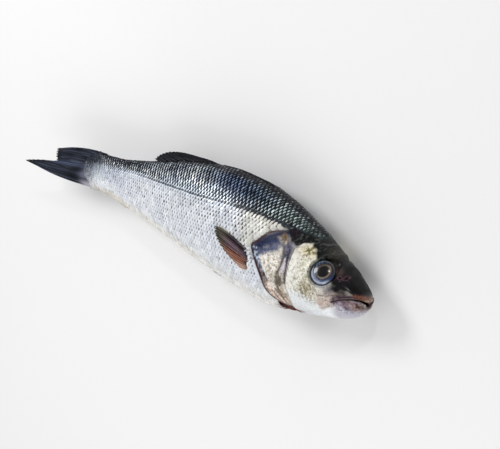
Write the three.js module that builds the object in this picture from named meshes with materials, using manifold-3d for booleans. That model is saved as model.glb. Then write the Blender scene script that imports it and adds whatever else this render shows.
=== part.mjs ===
// A whole gutted sea bass lying on its left flank, right flank up.
// Lengths are millimetres. The model frame has +X towards the head, +Y towards the back
// fins and +Z up. Stations are counted from the snout tip along the body, so a station s
// lies at X = SNOUT_X - s, and heights are counted from the line through the snout.

import * as THREE from 'three';
import { mergeVertices } from 'three/addons/utils/BufferGeometryUtils.js';
import Module from 'manifold-3d';

// ---------------------------------------------------------------- driving dimensions

const TOTAL_LENGTH = 404;
const SNOUT_X = TOTAL_LENGTH / 2 + 0.15;

// Station, height of the back, height of the belly, half width.
const SECTIONS = [
  [0, 0.6, -9.0, 5.4],
  [5.4, 4.9, -14.3, 9.9],
  [12.6, 9.0, -19.2, 13.8],
  [23.4, 14.0, -23.5, 17.4],
  [36, 19.5, -27.2, 20.3],
  [54, 27.3, -32.4, 22.6],
  [72, 33.2, -37.2, 24.1],
  [94, 39.2, -40.0, 25.0],
  [119, 43.0, -39.8, 25.1],
  [144, 43.2, -38.2, 23.8],
  [173, 40.4, -35.6, 21.1],
  [202, 34.8, -31.2, 17.5],
  [230, 26.9, -27.0, 13.5],
  [259, 19.5, -21.7, 9.7],
  [284, 15.2, -17.0, 6.9],
  [302, 14.4, -16.5, 5.3],
  [317, 15.3, -17.8, 3.4],
  [330, 15.0, -17.0, 1.4],
];
const BODY_END = 330;
const TAIL_SKIN_ROUND = 9;
const NOSE_ROUND = 6;

// The body curves down and towards the upper flank from this station back.
const BEND_START = 108;
const BEND_LENGTH = 252;
const BEND_DOWN = 18;
const BEND_UP = 7.2;

// Middle plane above the ground: the lower flank is pressed flat by its own weight.
const MIDDLE_HEIGHT = 24;
// Shift that centres the fish on the origin across its depth.
const CENTRE_Y = -2.11;

// Rear edges of the cheek plate and of the gill cover: relative height, station.
const CHEEK_EDGE = [[-1, 40], [-0.9, 45], [-0.75, 53], [-0.45, 61], [0.22, 63.5], [0.62, 55.6], [0.8, 52], [1, 48]];
const GILL_EDGE = [
  [-1, 54], [-0.9, 62], [-0.76, 72], [-0.6, 78], [-0.31, 84], [-0.08, 92], [0.09, 97],
  [0.2, 94], [0.48, 86], [0.7, 75], [0.85, 70], [1, 67],
];
const GILL_RELIEF = [[-1, 0.3], [-0.9, 1.2], [0.4, 1.3], [0.62, 0.8], [0.8, 0], [1, 0]];
const CHEEK_RELIEF = [[-1, 0], [-0.8, 0.6], [0.5, 0.6], [0.75, 0], [1, 0]];
const GILL_GROOVE_WIDTH = 0.7;
const GILL_GROOVE_DEPTH = 1.1;
const CHEEK_GROOVE_WIDTH = 1.4;
const CHEEK_GROOVE_DEPTH = 0.7;
const GILL_TIP = 97;
const WARP_FADE = 60;

const RING_SIDES = 44;
const CHEEK_ROWS = 14;
const COVER_ROWS = 6;
const TRUNK_ROWS = 28;

const EYE_STATION = 34;
const EYE_HEIGHT = 7.6;
const EYE_RADIUS = 8.8;
const EYE_BULGE = 3.2;
const SOCKET_RADIUS = 9.3;
const SOCKET_DEPTH = 2.6;
const EYE_TURN_FORWARD = THREE.MathUtils.degToRad(14);
const EYE_TURN_UP = THREE.MathUtils.degToRad(10);

const NOSTRILS = [[20.6, 9.6, 1.3], [14.8, 10.2, 1.6]];

// Side view of the parted mouth and of the belly cut.
const MOUTH_GAP = [
  [-4, -1.8], [8.3, -1.4], [14.6, -4.4], [20.6, -10.2], [20.2, -11.2],
  [14.2, -6.4], [8.0, -3.8], [-4, -5.6],
];
const BELLY_CUT = { start: 66, end: 236, depth: 4.5, width: 1.6 };
const THROAT = { station: 70, height: -37, length: 8, depth: 5, width: 5 };

// ---------------------------------------------------------------- small helpers

/** Smooth monotone curve through [position, value] pairs. */
function curveThrough(pairs) {
  const xs = pairs.map((pair) => pair[0]);
  const ys = pairs.map((pair) => pair[1]);
  const last = xs.length - 1;
  const slopes = [];
  for (let i = 0; i < last; i += 1) slopes.push((ys[i + 1] - ys[i]) / (xs[i + 1] - xs[i]));
  const tangents = xs.map((x, i) => {
    if (i === 0) return slopes[0];
    if (i === last) return slopes[last - 1];
    const before = slopes[i - 1];
    const after = slopes[i];
    if (before * after <= 0) return 0;
    const h0 = x - xs[i - 1];
    const h1 = xs[i + 1] - x;
    return (3 * (h0 + h1)) / ((2 * h1 + h0) / before + (h1 + 2 * h0) / after);
  });
  return (x) => {
    if (x <= xs[0]) return ys[0];
    if (x >= xs[last]) return ys[last];
    let i = 0;
    while (x > xs[i + 1]) i += 1;
    const h = xs[i + 1] - xs[i];
    const t = (x - xs[i]) / h;
    const t2 = t * t;
    const t3 = t2 * t;
    return (2 * t3 - 3 * t2 + 1) * ys[i] + (t3 - 2 * t2 + t) * h * tangents[i]
      + (3 * t2 - 2 * t3) * ys[i + 1] + (t3 - t2) * h * tangents[i + 1];
  };
}

const backHeight = curveThrough(SECTIONS.map(([s, top]) => [s, top]));
const bellyHeight = curveThrough(SECTIONS.map(([s, , bottom]) => [s, bottom]));
const halfWidth = curveThrough(SECTIONS.map(([s, , , width]) => [s, width]));
const cheekEdge = curveThrough(CHEEK_EDGE);
const gillEdge = curveThrough(GILL_EDGE);
const gillRelief = curveThrough(GILL_RELIEF);
const cheekRelief = curveThrough(CHEEK_RELIEF);

/** Place a point given by station, height and sideways distance, with the body's bend. */
function place(station, height, side) {
  const along = Math.max(0, (station - BEND_START) / BEND_LENGTH);
  const bend = along < 1 ? along * along : 2 * along - 1;
  return new THREE.Vector3(
    SNOUT_X - station,
    height - BEND_DOWN * bend + CENTRE_Y,
    side + BEND_UP * bend + MIDDLE_HEIGHT,
  );
}

/** Half width of the bare body at a station and height. */
function flankAt(station, height) {
  const middle = (backHeight(station) + bellyHeight(station)) / 2;
  const half = (backHeight(station) - bellyHeight(station)) / 2;
  const level = Math.min(1, Math.abs(height - middle) / half);
  return halfWidth(station) * Math.sqrt(1 - level * level);
}

/** Bring a geometry's vertices into the body frame by a function and weld them. */
function shaped(geometry, move) {
  const position = geometry.getAttribute('position');
  for (let i = 0; i < position.count; i += 1) {
    const p = move(new THREE.Vector3().fromBufferAttribute(position, i), i);
    position.setXYZ(i, p.x, p.y, p.z);
  }
  return welded(geometry);
}

function welded(geometry) {
  const bare = geometry.clone();
  for (const name of Object.keys(bare.attributes)) {
    if (name !== 'position') bare.deleteAttribute(name);
  }
  return mergeVertices(bare, 1e-4);
}

// ---------------------------------------------------------------- solids and cuts

const wasm = await Module();
wasm.setup();

/** A closed geometry as a solid whose faces point out, whichever way its net was wound. */
function solid(geometry) {
  const index = geometry.index.array;
  const position = geometry.getAttribute('position');
  const corner = (i) => new THREE.Vector3().fromBufferAttribute(position, i);
  const triangles = [];
  let volume = 0;
  for (let i = 0; i < index.length; i += 3) {
    const [a, b, c] = [index[i], index[i + 1], index[i + 2]];
    if (a !== b && b !== c && a !== c) triangles.push(a, b, c);
    volume += corner(a).dot(corner(b).cross(corner(c)));
  }
  if (volume < 0) triangles.reverse();
  return new wasm.Manifold(new wasm.Mesh({
    numProp: 3,
    vertProperties: new Float32Array(position.array),
    triVerts: new Uint32Array(triangles),
  }));
}

/** The outer shell alone: small sealed hollows are filled and loose scraps dropped. */
function outerShell(manifold) {
  const shells = manifold.decompose();
  return shells.reduce((largest, shell) => (shell.volume() > largest.volume() ? shell : largest));
}

function geometryOf(manifold) {
  const mesh = manifold.getMesh();
  const geometry = new THREE.BufferGeometry();
  geometry.setAttribute('position', new THREE.BufferAttribute(new Float32Array(mesh.vertProperties), 3));
  geometry.setIndex(new THREE.BufferAttribute(new Uint32Array(mesh.triVerts), 1));
  geometry.computeVertexNormals();
  return geometry;
}

// ---------------------------------------------------------------- body

/** Row of the body's net: station as a function of relative height, and relief. */
function bodyRow(row) {
  const coverStart = CHEEK_ROWS;
  const trunkStart = CHEEK_ROWS + COVER_ROWS;
  if (row <= coverStart) {
    const t = row / coverStart;
    const eased = 0.35 * t * t + 0.65 * t;
    return {
      station: (level) => cheekEdge(level) * eased,
      relief: (level) => (row === coverStart ? cheekRelief(level) : 0),
    };
  }
  if (row <= trunkStart) {
    const t = (row - coverStart - 1) / (COVER_ROWS - 1);
    const groove = row === coverStart + 1 ? -CHEEK_GROOVE_DEPTH : 0;
    return {
      station: (level) => {
        const front = cheekEdge(level) + CHEEK_GROOVE_WIDTH;
        return front + (gillEdge(level) - front) * t;
      },
      relief: (level) => gillRelief(level) * t * t + groove * Math.sign(cheekRelief(level)),
    };
  }
  const first = GILL_TIP + GILL_GROOVE_WIDTH;
  const t = (row - trunkStart - 1) / (TRUNK_ROWS - 1);
  const straight = first + (BODY_END - first) * t;
  const warp = Math.max(0, 1 - (straight - first) / WARP_FADE) ** 2;
  return {
    station: (level) => straight + (gillEdge(level) - GILL_TIP) * warp,
    relief: (level) => (row === trunkStart + 1 ? -GILL_GROOVE_DEPTH * Math.sign(gillRelief(level)) : 0),
  };
}

/** Point of the skin: level runs from belly -1 to back 1, side is -1 to 1. */
function skinPoint(row, level, side) {
  const { station, relief } = bodyRow(row);
  const s = station(level);
  const middle = (backHeight(s) + bellyHeight(s)) / 2;
  const noseRound = Math.sqrt(1 - (1 - Math.min(1, s / NOSE_ROUND)) ** 2);
  const tailRound = Math.sqrt(Math.max(0, Math.min(1, (BODY_END - s) / TAIL_SKIN_ROUND)));
  const half = ((backHeight(s) - bellyHeight(s)) / 2) * noseRound * tailRound;
  const width = halfWidth(s) * noseRound * Math.max(0.35, tailRound) * (tailRound > 0 ? 1 : 0);
  const normal = new THREE.Vector2(level / Math.max(half, 1), side / Math.max(width, 1)).normalize();
  const raised = relief(level);
  return place(s, middle + half * level + normal.x * raised, width * side + normal.y * raised);
}

function makeBody() {
  const rows = CHEEK_ROWS + COVER_ROWS + TRUNK_ROWS;
  const net = new THREE.SphereGeometry(1, RING_SIDES, rows);
  const columns = RING_SIDES + 1;
  return shaped(net, (p, i) => {
    const row = Math.floor(i / columns);
    const angle = ((i % columns) / RING_SIDES) * Math.PI * 2;
    return skinPoint(row, Math.sin(angle), -Math.cos(angle));
  });
}

/** Side view outline in stations and heights, pushed through the fish. */
function sideCut(points, width) {
  const outline = new THREE.Shape(points.map(([s, h]) => new THREE.Vector2(-s, h)));
  const cut = new THREE.ExtrudeGeometry(outline, { depth: width, bevelEnabled: false });
  return shaped(cut, (p) => place(-p.x, p.y, p.z - width / 2));
}

function bellyCut() {
  const steps = 24;
  const inner = [];
  const outer = [];
  for (let i = 0; i <= steps; i += 1) {
    const s = BELLY_CUT.start + ((BELLY_CUT.end - BELLY_CUT.start) * i) / steps;
    const fade = Math.min(1, (1 - i / steps) * 4);
    inner.push([s, bellyHeight(s) + BELLY_CUT.depth * fade]);
    outer.unshift([s, bellyHeight(s) - 6]);
  }
  return sideCut([...inner, ...outer], BELLY_CUT.width);
}

function ellipsoid(station, height, side, lengths, detail) {
  const ball = new THREE.SphereGeometry(1, detail, detail / 2);
  return shaped(ball, (p) => place(station + p.x * lengths[0], height + p.y * lengths[1], side - p.z * lengths[2]));
}

// ---------------------------------------------------------------- eyes

/** Turn a disc-shaped piece that faces +Z onto the head, on the right (1) or left (-1). */
function ontoEye(geometry, flank) {
  const centre = place(EYE_STATION, EYE_HEIGHT, flank * flankAt(EYE_STATION, EYE_HEIGHT));
  const facing = new THREE.Vector3(Math.tan(EYE_TURN_FORWARD), Math.tan(EYE_TURN_UP), flank).normalize();
  const turn = new THREE.Quaternion().setFromUnitVectors(new THREE.Vector3(0, 0, 1), facing);
  return geometry.applyQuaternion(turn).translate(centre.x, centre.y, centre.z);
}

function eyeSocket(flank) {
  const cup = new THREE.CylinderGeometry(SOCKET_RADIUS + 1, SOCKET_RADIUS, SOCKET_DEPTH + 8, 28);
  cup.rotateX(Math.PI / 2);
  cup.translate(0, 0, 4 - SOCKET_DEPTH / 2);
  return welded(ontoEye(cup, flank));
}

function makeEye(flank) {
  const depth = SOCKET_DEPTH - 0.3;
  const profile = [new THREE.Vector2(0, -depth), new THREE.Vector2(EYE_RADIUS - 0.5, -depth)];
  const steps = 8;
  for (let i = 0; i <= steps; i += 1) {
    const a = (i / steps) * (Math.PI / 2);
    profile.push(new THREE.Vector2(EYE_RADIUS * Math.cos(a), EYE_BULGE * Math.sin(a) - 1.2));
  }
  profile[profile.length - 1].x = 0;
  const ball = new THREE.LatheGeometry(profile, 28);
  ball.rotateX(Math.PI / 2);
  return welded(ontoEye(ball, flank));
}

// ---------------------------------------------------------------- fins

/**
 * A thin rayed blade. root(u) and tip(u) give [station, height, side]; the two faces ripple
 * together with the rays, and the blade thins from root to tip.
 */
function makeFin({ root, tip, rays, thick, thin, ripple, bow }) {
  const across = rays * 2;
  const along = 5;
  const sheet = new THREE.BoxGeometry(1, 1, 1, across, along, 1);
  return shaped(sheet, (p) => {
    const u = p.x + 0.5;
    const v = p.y + 0.5;
    const [s0, h0, z0] = root(u);
    const [s1, h1, z1] = tip(u);
    const wave = Math.cos(u * rays * Math.PI * 2) * ripple * Math.min(1, v * 1.6);
    const curl = bow * Math.sin(v * Math.PI);
    const half = p.z * (thick + (thin - thick) * v);
    return place(s0 + (s1 - s0) * v, h0 + (h1 - h0) * v, z0 + (z1 - z0) * v + wave + curl + half);
  });
}

function tailFin() {
  const edge = curveThrough([[0, 367], [0.12, 370], [0.3, 368], [0.44, 364], [0.6, 382], [0.8, 401], [0.9, 404], [1, 396]]);
  const rise = curveThrough([[0, 7.6], [0.12, 7.2], [0.3, 2], [0.44, -3], [0.6, -6], [0.8, -9.6], [0.9, -10.8], [1, -11.8]]);
  return makeFin({
    root: (u) => [316 + 8 * Math.sin(u * Math.PI), 14.4 - 31 * u, 0],
    tip: (u) => [edge(u), rise(u), 2.5 * Math.sin((u - 0.4) * 5)],
    rays: 15, thick: 3.2, thin: 0.9, ripple: 0.35, bow: 1.0,
  });
}

function firstDorsalFin() {
  return makeFin({
    root: (u) => [98 + 52 * u, backHeight(98 + 52 * u) - 2.2, 0],
    tip: (u) => [116 + 52 * u, backHeight(116 + 52 * u) + 1.6 - 0.6 * u, 0.8],
    rays: 9, thick: 3.0, thin: 0.9, ripple: 0.3, bow: 0.3,
  });
}

function secondDorsalFin() {
  const edge = curveThrough([[0, 180], [0.3, 204], [0.6, 226], [0.85, 241], [1, 246]]);
  const rise = curveThrough([[0, 41.6], [0.3, 40.4], [0.6, 36.8], [0.85, 28.6], [1, 23.6]]);
  return makeFin({
    root: (u) => [170 + 62 * u, backHeight(170 + 62 * u) - 2.0, 0],
    tip: (u) => [edge(u), rise(u), 1.2],
    rays: 12, thick: 2.6, thin: 0.9, ripple: 0.35, bow: 0.4,
  });
}

function analFin() {
  return makeFin({
    root: (u) => [244 + 38 * u, bellyHeight(244 + 38 * u) + 2.0, 0],
    tip: (u) => [268 + 46 * u, bellyHeight(268 + 46 * u) - 3.4 + 2.8 * u, -0.8],
    rays: 9, thick: 2.4, thin: 0.9, ripple: 0.3, bow: -0.3,
  });
}

function upperPectoralFin() {
  const edge = curveThrough([[0, 112], [0.25, 128], [0.5, 134.5], [0.75, 124], [1, 107]]);
  const rise = curveThrough([[0, 2.4], [0.25, 3.2], [0.5, -0.4], [0.75, -9.6], [1, -15.6]]);
  return makeFin({
    root: (u) => [93.5 + 1.5 * u, -3.6 - 11.4 * u, flankAt(94, -3.6 - 11.4 * u) - 0.6],
    tip: (u) => [edge(u), rise(u), flankAt(edge(u), rise(u)) + 1.6 + 2.6 * Math.sin(u * Math.PI)],
    rays: 10, thick: 2.4, thin: 0.9, ripple: 0.35, bow: 0.8,
  });
}

function lowerPectoralFin() {
  const edge = curveThrough([[0, 118], [0.3, 130], [0.6, 131], [1, 112]]);
  const rise = curveThrough([[0, -15], [0.3, -20], [0.6, -27], [1, -31]]);
  return makeFin({
    root: (u) => [93 + 2 * u, -8 - 11 * u, 0.8 - flankAt(94, -8 - 11 * u)],
    tip: (u) => [edge(u), rise(u), -0.7 - flankAt(edge(u), rise(u))],
    rays: 10, thick: 2.4, thin: 0.9, ripple: 0.25, bow: -0.4,
  });
}

function pelvicFin(flank) {
  return makeFin({
    root: (u) => [106 + 8 * u, -37.2 + 0.4 * u, flank * (6.4 - 2.4 * u)],
    tip: (u) => [140 + 6 * Math.sin(u * Math.PI) - 12 * u, -38.6 - 1.6 * u, flank * (7.2 - 5.4 * u)],
    rays: 6, thick: 3.0, thin: 1.0, ripple: 0.25, bow: 0,
  });
}

// ---------------------------------------------------------------- assembly

function makeFish() {
  let fish = solid(makeBody());
  fish = fish.add(solid(tailFin()));
  fish = fish.add(solid(firstDorsalFin()));
  fish = fish.add(solid(secondDorsalFin()));
  fish = fish.add(solid(analFin()));
  fish = fish.add(solid(upperPectoralFin()));
  fish = fish.add(solid(lowerPectoralFin()));
  for (const flank of [1, -1]) {
    fish = fish.add(solid(pelvicFin(flank)));
    fish = fish.subtract(solid(eyeSocket(flank)));
    for (const [station, height, radius] of NOSTRILS) {
      const side = flank * (flankAt(station, height) + 0.3);
      fish = fish.subtract(solid(ellipsoid(station, height, side, [radius, radius * 0.7, 1.2], 12)));
    }
  }
  fish = fish.subtract(solid(sideCut(MOUTH_GAP, 60)));
  fish = fish.subtract(solid(bellyCut()));
  const { station, height, length, depth, width } = THROAT;
  fish = fish.subtract(solid(ellipsoid(station, height, 0, [length, depth, width], 16)));
  const ground = new THREE.BoxGeometry(TOTAL_LENGTH * 2, TOTAL_LENGTH, 40);
  ground.translate(0, 0, -20);
  return outerShell(fish.subtract(solid(welded(ground))));
}

const SKIN = new THREE.MeshStandardMaterial({ color: 0x8f98a2, roughness: 0.35, metalness: 0.15 });
const EYE = new THREE.MeshStandardMaterial({ color: 0x1c2a3c, roughness: 0.08, metalness: 0.0 });

const seaBass = new THREE.Group();

const fishMesh = new THREE.Mesh(geometryOf(makeFish()), SKIN);
fishMesh.name = 'fish';
seaBass.add(fishMesh);

for (const [name, flank] of [['right_eye', 1], ['left_eye', -1]]) {
  const eyeMesh = new THREE.Mesh(makeEye(flank), EYE.clone());
  eyeMesh.name = name;
  seaBass.add(eyeMesh);
}

export default seaBass;
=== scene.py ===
"""A whole gutted sea bass lying on its left flank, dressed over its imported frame.

Lengths are worked in millimetres and stored in metres. A station is the distance from the
snout along the body, a height is counted from the line through the snout, and a side is the
distance from the middle plane towards the upper flank. A level is the sine of the angle round
a section, from -1 at the belly to 1 at the back.
"""

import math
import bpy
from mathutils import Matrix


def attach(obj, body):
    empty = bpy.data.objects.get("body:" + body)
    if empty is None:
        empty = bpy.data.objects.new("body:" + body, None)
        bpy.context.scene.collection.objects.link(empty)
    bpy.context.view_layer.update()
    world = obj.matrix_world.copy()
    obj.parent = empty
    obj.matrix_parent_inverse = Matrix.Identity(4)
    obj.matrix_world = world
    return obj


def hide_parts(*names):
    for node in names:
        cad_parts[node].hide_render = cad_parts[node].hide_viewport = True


bl_info = {
    "name": "Gutted Sea Bass",
    "version": (1, 0, 0),
    "blender": (4, 5, 0),
    "location": "3D View > Sidebar > Sea Bass",
    "description": "Builds a whole gutted sea bass lying on its flank",
    "category": "Object",
}

import bmesh
import bpy
import numpy as np
from bpy.props import FloatProperty, FloatVectorProperty, PointerProperty
from mathutils import Matrix, Vector

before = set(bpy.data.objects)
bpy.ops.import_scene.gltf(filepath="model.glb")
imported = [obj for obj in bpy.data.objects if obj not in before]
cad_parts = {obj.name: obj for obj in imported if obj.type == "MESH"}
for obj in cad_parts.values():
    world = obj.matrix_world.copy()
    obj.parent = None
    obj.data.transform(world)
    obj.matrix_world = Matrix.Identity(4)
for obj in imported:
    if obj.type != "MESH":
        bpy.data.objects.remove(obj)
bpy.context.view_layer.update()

MM = 0.001

# ---------------------------------------------------------------- sizes shared with the CAD

SNOUT_X = 202.15
CENTRE_Y = -2.11
MIDDLE_HEIGHT = 24.0
BEND_START = 108.0
BEND_LENGTH = 252.0
BEND_DOWN = 18.0
BEND_UP = 7.2
BODY_END = 330.0
NOSE_ROUND = 6.0
TAIL_SKIN_ROUND = 19.0
TAIL_SHEATH_HALF = 1.75

# Station, height of the back, height of the belly, half width.
SECTIONS = [
    (0, 0.6, -9.0, 5.4), (5.4, 4.9, -14.3, 9.9), (12.6, 9.0, -19.2, 13.8), (23.4, 14.0, -23.5, 17.4),
    (36, 19.5, -27.2, 20.3), (54, 27.3, -32.4, 22.6), (72, 33.2, -37.2, 24.1), (94, 39.2, -40.0, 25.0),
    (119, 43.0, -39.8, 25.1), (144, 43.2, -38.2, 23.8), (173, 40.4, -35.6, 21.1),
    (202, 34.8, -31.2, 17.5), (230, 26.9, -27.0, 13.5), (259, 19.5, -21.7, 9.7), (284, 15.2, -17.0, 6.9),
    (302, 14.4, -16.5, 5.3), (317, 15.3, -17.8, 3.4), (330, 15.0, -17.0, 1.4),
]

# Level and station of the rear edges of the cheek plate and of the gill cover.
CHEEK_EDGE = [
    (-1, 44), (-0.9, 49), (-0.756, 53.8), (-0.545, 56.3), (-0.327, 59.7), (-0.057, 60.5), (0.19, 61.1),
    (0.49, 61.5), (0.62, 57), (0.8, 52), (1, 48),
]
GILL_EDGE = [
    (-1, 46), (-0.9, 48.5), (-0.86, 50.5), (-0.82, 54), (-0.775, 59.5), (-0.735, 65.5), (-0.6, 76.5),
    (-0.31, 84), (-0.08, 92), (0.09, 97), (0.2, 94), (0.48, 86), (0.7, 75), (0.85, 70), (1, 67),
]
GILL_RELIEF = [(-1, 0.3), (-0.9, 1.2), (0.4, 1.3), (0.62, 0.8), (0.8, 0), (1, 0)]
GILL_RELIEF_MOST = 1.3
# Front edge of the trunk's skin under the gill cover, open at the throat.
TRUNK_FRONT = [
    (-1, 69.5), (-0.96, 69), (-0.88, 69.0), (-0.8, 68.4), (-0.76, 67), (-0.6, 70), (-0.31, 77),
    (0.09, 90), (0.2, 87), (0.48, 79), (0.7, 68), (0.85, 63), (1, 60),
]

EYE_STATION = 34.0
EYE_HEIGHT = 7.6
EYE_RADIUS = 8.8
EYE_BULGE = {1: 3.2, -1: 1.9}
EYE_SUNK = {1: 1.2, -1: 2.6}
EYE_TURN_FORWARD = math.radians(14)
EYE_TURN_UP = math.radians(26)

# Creases of the gill cover in the side view: along the cheek's rear edge, and behind it.
INNER_CREASE = [
    (62, 14), (61.2, 3.7), (60.4, -4.2), (59.7, -12.7), (56.3, -19.1), (53.8, -25.2), (50, -29),
]
OUTER_CREASE = [(69.8, 12.5), (67.0, 6), (67.3, -1), (68.8, -8), (68, -13), (65.5, -18), (61, -23)]

BELLY_SLIT_START = 74.0
BELLY_SLIT_END = 236.0
BELLY_SLIT_DEPTH = 4.2
BELLY_SLIT_HALF = 0.75
# Bare skin beside the slit, without scales.
BELLY_SLIT_BARE = 3.1

LATERAL_LINE = [
    (60, 25.0), (75, 25.5), (103, 24.8), (134, 21.5), (169, 16.7), (215, 12.6), (262, 9.2), (310, 2.0),
    (332, -1.0),
]

# Lips: place along the lip from the corner of the mouth to the front, station, section angle.
UPPER_LIP = [
    (0, 20.5, -18.7), (0.15, 17.5, -9), (0.3, 14.6, 0), (0.5, 8.3, 13.5), (0.7, 3.6, 26),
    (0.85, 1.1, 44), (1, 0.12, 90),
]
LOWER_LIP = [
    (0, 20.5, -18.7), (0.15, 17.6, -11), (0.3, 14.6, -3), (0.5, 8.3, 10), (0.7, 3.3, 19),
    (0.85, 0.8, 14), (1, 0.15, -90),
]
MOUTH_CORNER = math.radians(-12)
MOUTH_BACK = (17.0, -6.5)
# Station, height and radius of the two nostrils of a side.
NOSTRILS = [(21.9, 7.9, 0.9), (18.6, 8.9, 1.0)]

# ---------------------------------------------------------------- curves and soft masks


def curves(rows):
    """Smooth curves through the later columns of rows over their first, never overshooting."""
    table = np.array(rows, float).T
    return [smooth_curve(table[0], column) for column in table[1:]]


def smooth_curve(xs, ys):
    steps = np.diff(xs)
    slopes = np.diff(ys) / steps
    tangents = np.append(slopes[0], slopes)
    for i, (h0, h1, before, after) in enumerate(zip(steps, steps[1:], slopes, slopes[1:]), 1):
        tangents[i] = 0
        if before * after > 0:
            tangents[i] = 3 * (h0 + h1) / ((2 * h1 + h0) / before + (h1 + 2 * h0) / after)

    def value(x):
        x = np.clip(np.asarray(x, float), xs[0], xs[-1])
        i = np.clip(np.searchsorted(xs, x, side="right") - 1, 0, len(xs) - 2)
        h = steps[i]
        t = (x - xs[i]) / h
        held = (1 + 2 * t) * (1 - t) ** 2 * ys[i] + t * t * (3 - 2 * t) * ys[i + 1]
        return held + t * (1 - t) * h * ((1 - t) * tangents[i] - t * tangents[i + 1])

    return value


def ramp(x, start, end):
    """Smooth step from 0 at start to 1 at end, in either direction."""
    t = np.clip((np.asarray(x, float) - start) / (end - start), 0, 1)
    return t * t * (3 - 2 * t)


def band(x, low, high, soft):
    """1 between low and high, falling to 0 over soft outside them."""
    return ramp(x, low - soft, low) * ramp(x, high + soft, high)


def bell(x, width):
    return np.exp(-((x / width) ** 2))


def blotch(x, y, size, seed):
    """Smooth random patches from 0 to 1, about size across."""
    cells = 61
    grid = np.random.default_rng(seed).random((cells, cells))
    u, v = np.asarray(x, float) / size, np.asarray(y, float) / size
    i, j = np.floor(u).astype(int), np.floor(v).astype(int)
    fu, fv = ramp(u - i, 0, 1), ramp(v - j, 0, 1)
    i0, i1, j0, j1 = i % cells, (i + 1) % cells, j % cells, (j + 1) % cells
    low = grid[i0, j0] * (1 - fu) + grid[i1, j0] * fu
    high = grid[i0, j1] * (1 - fu) + grid[i1, j1] * fu
    return low * (1 - fv) + high * fv


def path_distance(s, h, points):
    """Distance from a chain of straight pieces in the side view."""
    nearest = np.full(np.shape(s), 1e9)
    for (s0, h0), (s1, h1) in zip(points, points[1:]):
        ds, dh = s1 - s0, h1 - h0
        t = np.clip(((s - s0) * ds + (h - h0) * dh) / (ds * ds + dh * dh), 0, 1)
        nearest = np.minimum(nearest, np.hypot(s - s0 - t * ds, h - h0 - t * dh))
    return nearest


def paint(red, green, blue):
    """A colour as it looks on a screen, from 0 to 255, as linear light."""
    c = np.array([red, green, blue], float) / 255
    return np.where(c <= 0.04045, c / 12.92, ((c + 0.055) / 1.055) ** 2.4)


def blend(base, mask, colour):
    """Lay a colour over others where a mask says: a screen colour, or an array of linear ones."""
    mask = np.clip(mask, 0, 1)[..., None]
    over = paint(*colour) if isinstance(colour, tuple) else np.array(colour)
    return base * (1 - mask) + over * mask


class Coat:
    """Colours laid over each other on points of the side view."""

    def __init__(self, s, h, ground):
        self.s, self.h = s, h
        self.colour = blend(np.zeros((*np.shape(s), 3)), np.ones(np.shape(s)), ground)

    def over(self, mask, colour):
        self.colour = blend(self.colour, mask, colour)

    def away(self, place, size, turn=0.0):
        """Squared distance from a place, counted in sizes."""
        ds, dh = self.s - place[0], self.h - place[1]
        c, n = math.cos(math.radians(turn)), math.sin(math.radians(turn))
        return ((ds * c + dh * n) / size[0]) ** 2 + ((dh * c - ds * n) / size[1]) ** 2

    def dab(self, place, size, colour, strength=1.0, turn=0.0):
        self.over(strength * np.exp(-self.away(place, size, turn) ** 1.5), colour)

    def glow(self, place, size, colour, strength=1.0):
        self.over(strength * np.exp(-self.away(place, size)), colour)

    def line(self, points, width, colour, strength=1.0):
        self.over(strength * bell(path_distance(self.s, self.h, points), width), colour)


back_height, belly_height, half_width = curves(SECTIONS)
cheek_edge, gill_edge, gill_relief, trunk_front, lateral_line = [
    curves(rows)[0] for rows in (CHEEK_EDGE, GILL_EDGE, GILL_RELIEF, TRUNK_FRONT, LATERAL_LINE)
]

# ---------------------------------------------------------------- the body's surface


def place(station, height, side):
    """Model position in millimetres, with the body's bend towards the tail."""
    station, height, side = np.broadcast_arrays(station, height, side)
    along = np.maximum(0, (station - BEND_START) / BEND_LENGTH)
    bend = np.where(along < 1, along**2, 2 * along - 1)
    upright = height - BEND_DOWN * bend + CENTRE_Y
    return np.stack([SNOUT_X - station, upright, side + BEND_UP * bend + MIDDLE_HEIGHT], axis=-1)


def section(station):
    """Middle height, half depth and half width of the body at a station."""
    nose = np.sqrt(1 - (1 - np.clip(station / NOSE_ROUND, 0, 1)) ** 2)
    tail = np.sqrt(np.clip((BODY_END - station) / TAIL_SKIN_ROUND, 0, 1))
    top, bottom = back_height(station), belly_height(station)
    width = half_width(station) * nose * (1 - 0.7 * ramp(station, 296, 326))
    sheath = TAIL_SHEATH_HALF * ramp(station, 290, 300) * ramp(station, BODY_END + 1, BODY_END - 8)
    return (top + bottom) / 2, (top - bottom) / 2 * nose * tail, np.maximum(width, sheath)


def side_view_height(station, angle):
    middle, depth = section(station)[:2]
    return middle + depth * np.sin(angle)


def bare_skin(station, angle):
    return place(station, side_view_height(station, angle), section(station)[2] * np.cos(angle))


def skin_frame(station, angle):
    """Point of the bare skin, its outward normal and its direction towards the tail."""
    station, angle = np.broadcast_arrays(np.asarray(station, float), np.asarray(angle, float))
    step, turn = 0.05, 0.002
    along = bare_skin(station + step, angle) - bare_skin(np.maximum(station - step, 0), angle)
    around = bare_skin(station, angle + turn) - bare_skin(station, angle - turn)
    normal = np.cross(around, along)
    normal /= np.linalg.norm(normal, axis=-1, keepdims=True) + 1e-12
    along /= np.linalg.norm(along, axis=-1, keepdims=True) + 1e-12
    return bare_skin(station, angle), normal, along


def skin(station, angle, raised):
    point, normal = skin_frame(station, angle)[:2]
    return point + normal * np.asarray(raised)[..., None]


def flank_at(station, height):
    """Half width of the bare body at a station and height."""
    top, bottom = back_height(station), belly_height(station)
    level = np.minimum(1, np.abs(2 * height - top - bottom) / (top - bottom))
    return half_width(station) * np.sqrt(1 - level * level)


def angle_at(station, height):
    middle, depth = section(station)[:2]
    return np.arcsin(np.clip((height - middle) / depth, -1, 1))


# ---------------------------------------------------------------- meshes


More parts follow.
